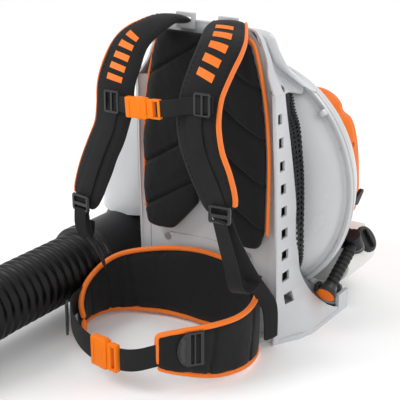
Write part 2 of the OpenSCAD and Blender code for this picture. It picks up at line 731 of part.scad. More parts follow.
base_foot();
back_plate();
side_rails();
upper_frame();
lower_cover();
screws();
strap_anchors();
av_mounts();
intake_grille();
fan_housing_front();
fan_housing_rear();
volute_duct();
crankcase();
cylinder_barrel();
piston();
connecting_rod();
main_bearings();
muffler();
spark_plug();
plug_boot();
ignition_module();
starter_housing();
carburettor();
air_filter();
filter_cover();
engine_hood();
fuel_tank();
start_hub();
elbow();
clamp_rear();
hose_rear();
back_pad();
strap_left();
strap_right();
harness_webbing();
strap_adjusters();
chest_buckle();
belt_back();
belt_wings();
belt_webbing();
belt_buckle();
fan_wheel();
flywheel();
crankshaft();
starter_pulley();
start_arm();
start_grip();
start_rope();
fuel_cap();
choke_lever();
primer_bulb();
hose_mid();
hose_front();
hose_cuff();
swivel_tube();
handle_shell();
throttle_trigger();
stop_lever();
blower_tube();
nozzle_tube();
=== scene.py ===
"""Looks of the backpack leaf blower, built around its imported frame.

Sizes are written in millimetres and turned to metres by MM. X runs to the wearer's left, Y from the wearer
back to the engine, Z up from the floor.
"""
import json
import logging
import math
from dataclasses import dataclass, field
from enum import Enum
from typing import Callable, Sequence

import bmesh
import bpy
from mathutils import Matrix, Vector, noise

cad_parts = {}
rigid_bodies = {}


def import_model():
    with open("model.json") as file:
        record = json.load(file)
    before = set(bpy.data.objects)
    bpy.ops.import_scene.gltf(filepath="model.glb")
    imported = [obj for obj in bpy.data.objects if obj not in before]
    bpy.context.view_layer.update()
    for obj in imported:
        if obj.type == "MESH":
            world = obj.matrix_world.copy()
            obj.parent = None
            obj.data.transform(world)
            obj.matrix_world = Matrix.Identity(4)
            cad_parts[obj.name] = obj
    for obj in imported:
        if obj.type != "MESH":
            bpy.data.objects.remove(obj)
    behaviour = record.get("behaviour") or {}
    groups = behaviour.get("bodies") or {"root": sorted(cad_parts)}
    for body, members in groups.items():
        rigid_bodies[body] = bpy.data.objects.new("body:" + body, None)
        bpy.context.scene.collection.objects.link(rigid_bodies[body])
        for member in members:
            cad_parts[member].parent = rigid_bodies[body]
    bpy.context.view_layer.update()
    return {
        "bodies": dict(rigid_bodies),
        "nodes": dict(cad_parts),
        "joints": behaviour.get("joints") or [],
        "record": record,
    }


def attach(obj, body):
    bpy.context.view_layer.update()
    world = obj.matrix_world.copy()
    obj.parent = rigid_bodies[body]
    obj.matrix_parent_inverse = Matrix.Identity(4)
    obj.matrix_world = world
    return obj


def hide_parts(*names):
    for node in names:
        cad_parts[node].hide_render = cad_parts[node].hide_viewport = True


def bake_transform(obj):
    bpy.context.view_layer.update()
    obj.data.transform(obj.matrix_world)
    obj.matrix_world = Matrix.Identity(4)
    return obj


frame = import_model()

MM = 0.001
LOOK = 0.01
LOG = logging.getLogger("leaf_blower")
Point = tuple[float, float, float]
Place = Callable[[float, float], Vector]


# ------------------------------------------------------------------ shared shop tools

def mm(x: float, y: float, z: float) -> Vector:
    """A point given in millimetres, in metres."""
    return Vector((x, y, z)) * MM


def smooth(t: float) -> float:
    """A soft step from 0 to 1 as t goes from 0 to 1."""
    t = min(max(t, 0.0), 1.0)
    return t * t * (3 - 2 * t)


def along(points: Sequence[Sequence[float]], t: float) -> list[float]:
    """A value on a smooth curve through points.

    Args:
        points: Rows of numbers that the curve passes through, evenly spaced in t.
        t: Place on the curve, 0 at the first row and 1 at the last.

    Returns:
        The numbers at t, by Catmull-Rom.
    """
    n = len(points) - 1
    i = min(int(t * n), n - 1)
    f = t * n - i
    rows = [points[min(max(i + k, 0), n)] for k in (-1, 0, 1, 2)]
    return [0.5 * (2 * b + (c - a) * f + (2 * a - 5 * b + 4 * c - d) * f * f
                   + (3 * b - a - 3 * c + d) * f ** 3) for a, b, c, d in zip(*rows)]


def lerp_table(table: Sequence[tuple[float, float]], x: float) -> float:
    """A straight-line reading of y at x from rows of (x, y) in rising x."""
    if x <= table[0][0]:
        return table[0][1]
    for (x0, y0), (x1, y1) in zip(table, table[1:]):
        if x <= x1:
            return y0 + (y1 - y0) * (x - x0) / (x1 - x0)
    return table[-1][1]


def deselect() -> None:
    """Leave edit mode and select nothing."""
    if bpy.context.object and bpy.context.object.mode != "OBJECT":
        bpy.ops.object.mode_set(mode="OBJECT")
    bpy.ops.object.select_all(action="DESELECT")


def pick(piece: bpy.types.Object) -> None:
    """Select one piece alone and make it active."""
    deselect()
    piece.select_set(True)
    bpy.context.view_layer.objects.active = piece


def modify(piece: bpy.types.Object, kind: str, **settings: object) -> None:
    """Add one modifier with its settings and apply it."""
    pick(piece)
    modifier = piece.modifiers.new(kind.title(), kind)
    for key, value in settings.items():
        setattr(modifier, key, value)
    bpy.ops.object.modifier_apply(modifier=modifier.name)


def weld(piece: bpy.types.Object, distance: float = 1e-5, fill: bool = True) -> None:
    """Merge doubled corners, close holes if asked, and turn the faces outwards."""
    pick(piece)
    bpy.ops.object.mode_set(mode="EDIT")
    bpy.ops.mesh.select_mode(type="VERT")
    bpy.ops.mesh.select_all(action="SELECT")
    bpy.ops.mesh.remove_doubles(threshold=distance)
    if fill:
        bpy.ops.mesh.select_all(action="DESELECT")
        bpy.ops.mesh.select_non_manifold()
        bpy.ops.mesh.fill_holes(sides=0)
        bpy.ops.mesh.select_all(action="SELECT")
    bpy.ops.mesh.normals_make_consistent(inside=False)
    bpy.ops.object.mode_set(mode="OBJECT")


def shade(piece: bpy.types.Object, angle: float = 35) -> None:
    """Smooth shading, sharp at edges steeper than angle degrees."""
    pick(piece)
    bpy.ops.object.shade_smooth_by_angle(angle=math.radians(angle))


def surface(name: str, columns: int, rows: int, place: Place) -> bpy.types.Object:
    """A grid of faces laid on a curved surface.

    Args:
        name: The piece's name.
        columns: Faces along u.
        rows: Faces along v.
        place: Gives the point in metres for u and v from 0 to 1.

    Returns:
        The open mesh, its doubled corners not yet merged.
    """
    deselect()
    bpy.ops.mesh.primitive_grid_add(x_subdivisions=columns, y_subdivisions=rows, size=1)
    piece = bpy.context.object
    piece.name = name
    piece.data.name = name
    for corner in piece.data.vertices:
        corner.co = place(corner.co.x + 0.5, corner.co.y + 0.5)
    return piece


def box(name: str, low: Point, high: Point, bevel: float = 1.0, segments: int = 2) -> bpy.types.Object:
    """A bevelled block between two corners, in millimetres."""
    deselect()
    bpy.ops.mesh.primitive_cube_add(size=1)
    piece = bpy.context.object
    piece.name = name
    lo, hi = Vector(low), Vector(high)
    for corner in piece.data.vertices:
        corner.co = Vector([lo[k] if corner.co[k] < 0 else hi[k] for k in range(3)]) * MM
    if bevel:
        modify(piece, "BEVEL", width=bevel * MM, segments=segments)
    shade(piece)
    return piece


def lathe(name: str, profile: Sequence[tuple[float, float]], turns: int = 128,
          radius: Callable[[float, float, float], float] | None = None) -> bpy.types.Object:
    """A shape turned about the Z axis, by extruding and scaling one ring of edges.

    Args:
        name: The piece's name.
        profile: Rows of (radius, height) in millimetres, from one end to the other.
        turns: Corners in each ring.
        radius: If given, turns (radius, height, angle) into the radius at that angle.

    Returns:
        The mesh about the Z axis, open where the profile is open.
    """
    deselect()
    first = profile[0]
    bpy.ops.mesh.primitive_circle_add(vertices=turns, radius=first[0] * MM, location=(0, 0, first[1] * MM))
    piece = bpy.context.object
    piece.name = name
    bpy.ops.object.transform_apply(location=True, rotation=True, scale=True)
    bpy.ops.object.mode_set(mode="EDIT")
    bpy.ops.mesh.select_all(action="SELECT")
    for (r0, h0), (r1, h1) in zip(profile, profile[1:]):
        bpy.ops.mesh.extrude_region_move(TRANSFORM_OT_translate={"value": (0, 0, (h1 - h0) * MM)})
        bpy.ops.transform.resize(value=(r1 / r0, r1 / r0, 1), center_override=(0, 0, h1 * MM))
    bpy.ops.object.mode_set(mode="OBJECT")
    if radius:
        for corner in piece.data.vertices:
            r = math.hypot(corner.co.x, corner.co.y)
            k = radius(r / MM, corner.co.z / MM, math.atan2(corner.co.y, corner.co.x)) * MM / r
            corner.co.x *= k
            corner.co.y *= k
    weld(piece, fill=False)
    return piece


def put(piece: bpy.types.Object, matrix: Matrix) -> bpy.types.Object:
    """Move a piece's mesh by a matrix, leaving its object at the origin."""
    piece.data.transform(matrix)
    if matrix.determinant() < 0:
        piece.data.flip_normals()
    return piece


def axes(origin: Vector, direction: Vector, up: Vector = Vector((0, 0, 1))) -> Matrix:
    """A placing that takes local Z to direction and local Y as near to up as it can be."""
    z = direction.normalized()
    x = up.cross(z).normalized() if abs(up.dot(z)) < 0.999 else Vector((1, 0, 0))
    y = z.cross(x)
    return Matrix.Translation(origin) @ Matrix((x, y, z)).transposed().to_4x4()


def turned(degrees: float, axis: str) -> Matrix:
    """A turn about one axis."""
    return Matrix.Rotation(math.radians(degrees), 4, axis)


def shifted(x: float, y: float, z: float) -> Matrix:
    """A move in millimetres."""
    return Matrix.Translation(mm(x, y, z))


def join(name: str, pieces: Sequence[bpy.types.Object]) -> bpy.types.Object:
    """Join pieces into one object of several separate solids."""
    deselect()
    for piece in pieces:
        piece.select_set(True)
    bpy.context.view_layer.objects.active = pieces[0]
    bpy.ops.object.join()
    pieces[0].name = name
    return pieces[0]


def skin(name: str, columns: int, rows: int, place: Place, wall: float, offset: float = 0.0,
         angle: float = 40.0, doubles: float = 1e-6) -> bpy.types.Object:
    """A moulded wall laid on a curved surface.

    Args:
        name: The piece's name.
        columns: Faces along u.
        rows: Faces along v.
        place: Gives the point in metres for u and v from 0 to 1.
        wall: Thickness in millimetres.
        offset: Side that the wall grows to: -1 inwards, 0 both ways, 1 outwards.
        angle: Edges steeper than this many degrees stay sharp.
        doubles: Corners closer than this many metres are merged.

    Returns:
        The wall as a closed solid.
    """
    sheet = surface(name, columns, rows, place)
    weld(sheet, doubles, fill=False)
    modify(sheet, "SOLIDIFY", thickness=wall * MM, offset=offset)
    shade(sheet, angle)
    return sheet


def band_frame(stations: Sequence[Sequence[float]], v: float) -> tuple[Vector, Vector, Vector, float, float]:
    """How a band lies at a share of its length.

    Args:
        stations: Rows of x, y, z, half width, half thickness in mm and the width's turn about Z in degrees.
        v: Share of the band's length.

    Returns:
        Its centre, the directions across and through it, its half width and its half thickness.
    """
    x, y, z, width, thick, yaw = along(stations, v)
    before, after = along(stations, max(v - LOOK, 0)), along(stations, min(v + LOOK, 1))
    tangent = (Vector(after[:3]) - Vector(before[:3])).normalized()
    across = Vector((math.cos(math.radians(yaw)), math.sin(math.radians(yaw)), 0))
    across = (across - tangent * across.dot(tangent)).normalized()
    return Vector((x, y, z)), across, tangent.cross(across), width, thick


def rounding(v: float, end: float) -> float:
    """How far a band has opened, from 0 at its very end to 1 past the share end of its length."""
    edge = min(min(v, 1 - v) / end, 1.0) if end else 1.0
    return math.sqrt(max(1 - (1 - edge) ** 2, 0.0))


def sweep(name: str, stations: Sequence[Sequence[float]], section: Sequence[tuple[float, float]],
          steps: int = 60, end: float = 0.06, crown: float = 0.0) -> bpy.types.Object:
    """A closed band swept along a route with a changing width, thickness and twist.

    Args:
        name: The piece's name.
        stations: Rows of x, y, z, half width, half thickness in mm and the width's turn about Z in degrees.
        section: The section's outline as (across, through) from -1 to 1, counter-clockwise.
        steps: Rings along the route.
        end: Share of the route over which each end rounds off.
        crown: Extra bulge of the outer face along the middle, as a share of the half thickness.

    Returns:
        The closed mesh.
    """
    count = len(section)

    def place(u: float, v: float) -> Vector:
        """One corner of the band's skin."""
        centre, across, through, width, thick = band_frame(stations, v)
        close = rounding(v, end)
        s, t = section[round(u * count) % count]
        bulge = 1 + crown * (1 - s * s)
        return (centre + across * s * width * (0.55 + 0.45 * close) + through * t * thick * bulge * close) * MM

    piece = surface(name, count, steps, place)
    weld(piece, 2e-5)
    shade(piece, 50)
    return piece


def oval(count: int, power: float = 2.6) -> list[tuple[float, float]]:
    """A rounded section from -1 to 1 each way; a higher power is squarer."""
    rows = []
    for k in range(count):
        a = 2 * math.pi * k / count
        c, s = math.cos(a), math.sin(a)
        rows.append((math.copysign(abs(c) ** (2 / power), c), math.copysign(abs(s) ** (2 / power), s)))
    return rows


def ribbon(name: str, stations: Sequence[Sequence[float]], width: float, thick: float,
           steps: int = 40) -> bpy.types.Object:
    """A flat webbing strap along rows of x, y, z and yaw, in millimetres and degrees."""
    rows = [[x, y, z, width / 2, thick / 2, yaw] for x, y, z, yaw in stations]
    return sweep(name, rows, oval(16, 6), steps, end=0.004)


# ------------------------------------------------------------------ finishes

def srgb(text: str) -> tuple[float, float, float, float]:
    """A linear colour from an sRGB hex value such as #D0D0D0."""
    parts = [int(text[i:i + 2], 16) / 255 for i in (1, 3, 5)]
    return (*[c / 12.92 if c <= 0.04045 else ((c + 0.055) / 1.055) ** 2.4 for c in parts], 1.0)


def add_node(tree: bpy.types.NodeTree, kind: str, links: dict[str, object] | None = None,
             **settings: object) -> bpy.types.Node:
    """Add one shader node.

    Args:
        tree: The material's node tree.
        kind: The node's type, such as ShaderNodeTexNoise.
        links: Input name to a value, or to an output socket to link from.
        settings: The node's own properties.

    Returns:
        The new node.
    """
    made = tree.nodes.new(kind)
    for key, value in settings.items():
        setattr(made, key, value)
    for key, value in (links or {}).items():
        target = made.inputs[int(key)] if key.isdigit() else made.inputs[key]
        if isinstance(value, bpy.types.NodeSocket):
            tree.links.new(value, target)
        else:
            target.default_value = value
    return made


class Pattern(Enum):
    """How a finish's surface was made."""

    MOULDED = "moulded"
    WOVEN = "woven"
    WEBBING = "webbing"
    CAST = "cast"
    TURNED = "turned"
    FELT = "felt"


@dataclass(frozen=True)
class Finish:
    """One real finish: its colour, sheen and the fine relief of how it was made."""

    name: str
    colour: str
    worn: str
    rough: float
    pattern: Pattern = Pattern.MOULDED
    grain_mm: float = 1.2
    relief_mm: float = 0.03
    metallic: float = 0.0
    ior: float = 1.5
    sheen: float = 0.0
    coat: float = 0.0
    light_through: float = 0.0

    def material(self) -> bpy.types.Material:
        """The finish as a node material, made once."""
        made = bpy.data.materials.get(self.name)
        if made:
            return made
        made = bpy.data.materials.new(self.name)
        made.use_nodes = True
        tree = made.node_tree
        shader = tree.nodes["Principled BSDF"]
        shader.inputs["Metallic"].default_value = self.metallic
        shader.inputs["IOR"].default_value = self.ior
        shader.inputs["Sheen Weight"].default_value = self.sheen
        shader.inputs["Sheen Roughness"].default_value = 0.5
        shader.inputs["Coat Weight"].default_value = self.coat
        shader.inputs["Coat Roughness"].default_value = 0.2
        shader.inputs["Transmission Weight"].default_value = self.light_through
        where = add_node(tree, "ShaderNodeTexCoord").outputs["Object"]
        broad = add_node(tree, "ShaderNodeTexNoise", {"Vector": where, "Scale": 14.0, "Detail": 4.0})
        fine = self.relief(tree, where)
        mixed = add_node(tree, "ShaderNodeMix", {"0": self.blotch(tree, broad, fine)}, data_type="RGBA")
        mixed.inputs["A"].default_value = srgb(self.colour)
        mixed.inputs["B"].default_value = srgb(self.worn)
        tree.links.new(mixed.outputs["Result"], shader.inputs["Base Color"])
        rough = add_node(tree, "ShaderNodeMapRange", {"Value": broad.outputs["Fac"], "To Min": self.rough - 0.06,
                                                      "To Max": self.rough + 0.06})
        tree.links.new(rough.outputs["Result"], shader.inputs["Roughness"])
        bump = add_node(tree, "ShaderNodeBump", {"Height": fine, "Distance": self.relief_mm * MM, "Strength": 1.0})
        tree.links.new(bump.outputs["Normal"], shader.inputs["Normal"])
        return made

    def blotch(self, tree: bpy.types.NodeTree, broad: bpy.types.Node, fine: bpy.types.NodeSocket,
               ) -> bpy.types.NodeSocket:
        """How far the colour leans to the worn one at each place."""
        spread = add_node(tree, "ShaderNodeMapRange", {"Value": broad.outputs["Fac"], "From Min": 0.4,
                                                       "From Max": 0.75})
        both = add_node(tree, "ShaderNodeMath", {"0": spread.outputs["Result"], "1": fine}, operation="MULTIPLY")
        return both.outputs["Value"]

    def relief(self, tree: bpy.types.NodeTree, where: bpy.types.NodeSocket) -> bpy.types.NodeSocket:
        """The fine height pattern, from 0 to 1."""
        per_metre = 1 / (self.grain_mm * MM)
        if self.pattern in (Pattern.WOVEN, Pattern.WEBBING):
            threads = []
            for direction in ("X", "Z") if self.pattern is Pattern.WOVEN else ("Z",):
                wave = add_node(tree, "ShaderNodeTexWave", {"Vector": where, "Scale": 0.314 * per_metre,
                                                            "Distortion": 0.6, "Detail": 1.0},
                                bands_direction=direction)
                threads.append(wave.outputs["Fac"])
            fuzz = add_node(tree, "ShaderNodeTexNoise", {"Vector": where, "Scale": per_metre * 0.6,
                                                         "Detail": 3.0}).outputs["Fac"]
            total = fuzz
            for thread in threads:
                total = add_node(tree, "ShaderNodeMath", {"0": total, "1": thread},
                                 operation="MULTIPLY").outputs["Value"]
            return add_node(tree, "ShaderNodeMath", {"0": total, "1": 1.8}, operation="MULTIPLY").outputs["Value"]
        if self.pattern is Pattern.TURNED:
            stretched = add_node(tree, "ShaderNodeMapping", {"Vector": where, "Scale": (1, 12, 1)})
            return add_node(tree, "ShaderNodeTexNoise", {"Vector": stretched.outputs["Vector"],
                                                         "Scale": per_metre * 0.2, "Detail": 4.0}).outputs["Fac"]
        if self.pattern is Pattern.CAST:
            return add_node(tree, "ShaderNodeTexVoronoi", {"Vector": where, "Scale": per_metre}).outputs["Distance"]
        return add_node(tree, "ShaderNodeTexNoise", {"Vector": where, "Scale": per_metre,
                                                     "Detail": 3.0}).outputs["Fac"]


# Glass-filled nylon and ABS mouldings: even colour, a spark-eroded grain, soft highlights.
SHELL_GREY = Finish("moulded_shell_grey", "#C9CACC", "#BEBFC2", 0.36, relief_mm=0.02)
HOUSING = Finish("moulded_housing_light_grey", "#C6C7C9", "#BCBDC0", 0.26, relief_mm=0.01, coat=0.15)
BLACK_NYLON = Finish("moulded_black_nylon", "#161618", "#202022", 0.42, relief_mm=0.04, ior=1.38)
GLOSSY_BLACK = Finish("polished_black_nylon", "#171719", "#232325", 0.28, relief_mm=0.01)
TROUGH_GREY = Finish("moulded_trough_grey", "#6C6D70", "#5F6063", 0.5, relief_mm=0.04)
ORANGE_ABS = Finish("moulded_orange_abs", "#F27C08", "#E87002", 0.45, relief_mm=0.015, ior=1.3)
DEEP_ORANGE = Finish("moulded_deep_orange_abs", "#EC7008", "#E06402", 0.5, relief_mm=0.015, ior=1.25)
ADJUSTER_GREY = Finish("moulded_acetal_grey", "#1C1C1E", "#2C2C2E", 0.22, relief_mm=0.01)
# Blow-moulded polyethylene: milky, waxy, a little light passes through.
TANK = Finish("blow_moulded_polyethylene", "#EEEDEA", "#E4E3DE", 0.4, relief_mm=0.02, light_through=0.06)
# Extruded EPDM rubber: deep black, dull, with a faint bloom.
HOSE_RUBBER = Finish("extruded_hose_rubber", "#080809", "#101011", 0.38, relief_mm=0.03, ior=1.33)
# Die-cast aluminium: pale, sandy skin.
CAST_METAL = Finish("die_cast_aluminium", "#B7B9BC", "#9FA1A5", 0.42, Pattern.CAST, 1.5, 0.05, metallic=1.0)
STEEL = Finish("turned_steel", "#A9ABAF", "#8E9094", 0.35, Pattern.TURNED, 1.0, 0.01, metallic=0.5)
# Coated polyester cloth over foam and spacer cloth: dull, almost black, with a faint sheen along the threads.
# Threads are drawn 1.6 to 2 mm apart, about twice as coarse as real, so that they show.
CLOTH = Finish("woven_black_polyester", "#131314", "#242426", 0.82, Pattern.WOVEN, 1.6, 0.10, ior=1.35, sheen=0.05)
SPACER_MESH = Finish("knitted_spacer_cloth", "#121213", "#222224", 0.88, Pattern.WOVEN, 2.0, 0.12, ior=1.35, sheen=0.05)
WEB = Finish("woven_black_webbing", "#101011", "#222224", 0.75, Pattern.WEBBING, 2.0, 0.12, ior=1.35, sheen=0.04)
BINDING = Finish("woven_orange_binding", "#EE7408", "#DC6602", 0.7, Pattern.WEBBING, 1.6, 0.08, sheen=0.15)
PRINT = Finish("printed_orange_ink", "#EE7408", "#DC6602", 0.6, Pattern.WOVEN, 1.6, 0.05)
FELT = Finish("pleated_filter_felt", "#B9A27A", "#A58E66", 0.9, Pattern.FELT, 0.8, 0.15)
VENT_RED = Finish("shadowed_orange_vent", "#A83208", "#962A06", 0.5, relief_mm=0.02)
# Painted shade: a near-black finish for the boxes behind the side rails' slots, standing for the dark hollow inside the
# rails.
PAINTED_SLOT_SHADE = Finish("painted_shade_slot_backing", "#0C0C0D", "#161617", 0.9, relief_mm=0.1)


def dress(piece: bpy.types.Object, finish: Finish) -> bpy.types.Object:
    """Give a piece one finish all over."""
    piece.data.materials.clear()
    piece.data.materials.append(finish.material())
    return piece


def mount(piece: bpy.types.Object, body: str, finish: Finish, nodes: Sequence[str] = ()) -> None:
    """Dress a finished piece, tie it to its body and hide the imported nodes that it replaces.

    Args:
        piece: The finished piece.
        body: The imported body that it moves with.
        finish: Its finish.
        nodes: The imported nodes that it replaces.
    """
    if not piece.data.materials:
        dress(piece, finish)
    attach(piece, body)
    if nodes:
        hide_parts(*nodes)
    LOG.info("%s: %d faces on %s", piece.name, len(piece.data.polygons), body)


# ------------------------------------------------------------------ studio

@dataclass
class Studio:
    """The camera, the pale floor and the soft lights."""

    target: Point = (-28.9, 23.6, 201.4)
    azimuth: float = 34.0
    elevation: float = 20.0
    distance_mm: float = 1750.0
    lens_mm: float = 97.2
    floor_half_m: float = 30.0

    def camera(self) -> None:
        """Stand the camera at its viewing angle."""
        a, e = math.radians(self.azimuth), math.radians(self.elevation)
        back = Vector((math.sin(a) * math.cos(e), -math.cos(a) * math.cos(e), math.sin(e)))
        bpy.ops.object.camera_add(location=mm(*self.target) + back * self.distance_mm * MM,
                                  rotation=back.to_track_quat("Z", "Y").to_euler())
        eye = bpy.context.object
        eye.name = "eye"
        eye.data.lens = self.lens_mm
        eye.data.sensor_width = 36.0
        eye.data.clip_end = 100.0
        bpy.context.scene.camera = eye

    def light(self, name: str, place: Point, aim: Point, size: float, watts: float) -> None:
        """One square soft box; places in metres."""
        turn = (Vector(place) - Vector(aim)).to_track_quat("Z", "Y").to_euler()
        bpy.ops.object.light_add(type="AREA", location=place, rotation=turn)
        lamp = bpy.context.object
        lamp.name = name
        lamp.data.size = size
        lamp.data.energy = watts

    def build(self) -> None:
        """Set up the whole studio."""
        self.camera()
        self.light("key_box", (-1.6, -1.7, 2.3), (0, 0, 0.25), 1.3, 34)
        self.light("fill_box", (2.4, -1.2, 1.5), (0, 0, 0.2), 1.6, 5)
        self.light("rim_box", (0.8, 2.2, 1.9), (0, 0.1, 0.3), 1.2, 12)
        world = bpy.data.worlds.new("studio_world")
        world.use_nodes = True
        world.node_tree.nodes["Background"].inputs["Color"].default_value = srgb("#FFFFFF")
        world.node_tree.nodes["Background"].inputs["Strength"].default_value = 0.93
        bpy.context.scene.world = world
        bpy.context.scene.view_settings.view_transform = "Standard"
        deselect()
        bpy.ops.mesh.primitive_grid_add(x_subdivisions=8, y_subdivisions=8, size=2 * self.floor_half_m)
        floor = bpy.context.object
        floor.name = "pale_floor"
        paper = bpy.data.materials.new("matt_white_paper")
        paper.use_nodes = True
        shader = paper.node_tree.nodes["Principled BSDF"]
        shader.inputs["Base Color"].default_value = srgb("#FDFDFD")
        shader.inputs["Roughness"].default_value = 0.9
        floor.data.materials.append(paper)


# ------------------------------------------------------------------ soft goods

def inflate(piece: bpy.types.Object, voxel_mm: float = 5.0, pressure: float = 4.0,
            cap_mm: float = 6.0, frames: int = 20) -> None:
    """Puff a closed pad by cloth simulation and keep the result.

    Args:
        piece: A closed mesh a little smaller than the finished pad.
        voxel_mm: Size of the remeshed faces.
        pressure: Pressure inside the cloth.
        cap_mm: Furthest that a point may move.
        frames: Steps of the simulation.
    """
    modify(piece, "REMESH", mode="VOXEL", voxel_size=voxel_mm * MM)
    modify(piece, "SMOOTH", factor=0.5, iterations=4)
    start = [corner.co.copy() for corner in piece.data.vertices]
    cloth = piece.modifiers.new("Cloth", "CLOTH")
    cloth.settings.use_pressure = True
    cloth.settings.uniform_pressure_force = pressure
    cloth.settings.effector_weights.gravity = 0
    cloth.settings.tension_stiffness = 15
    cloth.settings.bending_stiffness = 0.5
    cloth.point_cache.frame_start = 1
    cloth.point_cache.frame_end = frames
    scene = bpy.context.scene
    for step in range(1, frames + 1):
        scene.frame_set(step)
    graph = bpy.context.evaluated_depsgraph_get()
    puffed = [corner.co.copy() for corner in piece.evaluated_get(graph).data.vertices]
    piece.modifiers.remove(cloth)
    scene.frame_set(1)
    for corner, home, out in zip(piece.data.vertices, start, puffed):
        move = out - home
        corner.co = home + move * min(1.0, cap_mm * MM / max(move.length, 1e-9))
    modify(piece, "SUBSURF", levels=1, render_levels=1)


def distance_to_line(x: float, z: float, line: Sequence[tuple[float, float]]) -> float:
    """Shortest distance from (x, z) to a line through points."""
    best = 1e9
    p = Vector((x, z))
    for a, b in zip(line, line[1:]):
        a2, d = Vector(a), Vector(b) - Vector(a)
        t = min(max((p - a2).dot(d) / d.length_squared, 0), 1)
        best = min(best, (p - a2 - d * t).length)
    return best


@dataclass
class BackPad:
    """The quilted pad between the wearer's back and the plate."""

    back_y: float = 2.0
    start_thick: float = 17.0
    outline: tuple[tuple[float, float], ...] = (
        (0, 276), (12, 262), (12, 208), (30, 188), (60, 158), (90, 156), (109, 160), (115.5, 180), (116.5, 240),
        (116, 300), (113, 350), (107, 395), (97, 440), (86, 474), (72, 485), (40, 486), (0, 486))
    chevron_tops: tuple[float, ...] = (470, 400, 330)
    chevron_slope: float = 0.62
    seam_half: float = 3.4
    seam_deep: float = 5.5
    piping_r: float = 2.5

    def half(self) -> list[tuple[float, float]]:
        """The outline's right half, from the notch up to the top."""
        return list(self.outline)

    def loop(self) -> list[tuple[float, float]]:
        """The whole outline, closed."""
        right = self.half()
        return right + [(-x, z) for x, z in reversed(right[1:-1])]

    def seams(self) -> list[list[tuple[float, float]]]:
        """The sewn lines: one up the middle, chevrons on both sides."""
        lines = [[(0, 276), (0, 486)]]
        for top in self.chevron_tops:
            for side in (-1, 1):
                lines.append([(0, top), (side * 117, top - 117 * self.chevron_slope)])
        for side in (-1, 1):
            lines.append([(side * 12, 250), (side * 117, 250 - 105 * self.chevron_slope)])
        return lines

    def build(self) -> None:
        """Make the pad and its orange edge."""
        loop = self.loop()
        deselect()
        bpy.ops.mesh.primitive_circle_add(vertices=len(loop), fill_type="NGON", radius=0.1)
        pad = bpy.context.object
        pad.name = "quilted_back_pad"
        for corner, (x, z) in zip(pad.data.vertices, loop):
            corner.co = mm(x * 1.005, self.back_y - 4, 322 + (z - 322) * 1.005)
        bpy.ops.object.mode_set(mode="EDIT")
        bpy.ops.mesh.select_all(action="SELECT")
        bpy.ops.mesh.extrude_region_move(
            TRANSFORM_OT_translate={"value": (0, -self.start_thick * MM, 0)})
        bpy.ops.mesh.select_all(action="SELECT")
        bpy.ops.mesh.normals_make_consistent(inside=False)
        bpy.ops.object.mode_set(mode="OBJECT")
        inflate(pad, 5.0, 4.0, 5.0)
        modify(pad, "SUBSURF", levels=1, render_levels=1)
        lines = self.seams()
        for corner in pad.data.vertices:
            x, y, z = corner.co / MM
            front = smooth((self.back_y - 6 - y) / 8)
            near = min(distance_to_line(x, z, line) for line in lines)
            groove = math.exp(-(near / self.seam_half) ** 2) * self.seam_deep
            puff = 2.2 * smooth(near / 28)
            ripple = 1.3 * noise.noise(Vector((x, z, 0)) * 0.035) + 0.5 * noise.noise(Vector((x, z, 7)) * 0.11)
            y += front * (groove - puff + ripple)
            corner.co.y = min(y, self.back_y) * MM
        shade(pad, 60)
        mount(pad, "root", SPACER_MESH, ["back_pad"])
        for side, name in ((1, "left"), (-1, "right")):
            self.piping(side, name)

    def piping(self, side: int, name: str) -> None:
        """The orange tape along one outer edge."""
        edge = [p for p in self.half() if p[0] > 66 or p[1] > 470][2:-2]
        y = self.back_y - (10 if side > 0 else 5)
        rows = [[side * (x + 1.0), y, z, self.piping_r, self.piping_r * 1.4, 0] for x, z in edge]
        tape = sweep(f"pad_piping_{name}", rows, oval(12, 2.2), 70, end=0.01)
        mount(tape, "root", BINDING)


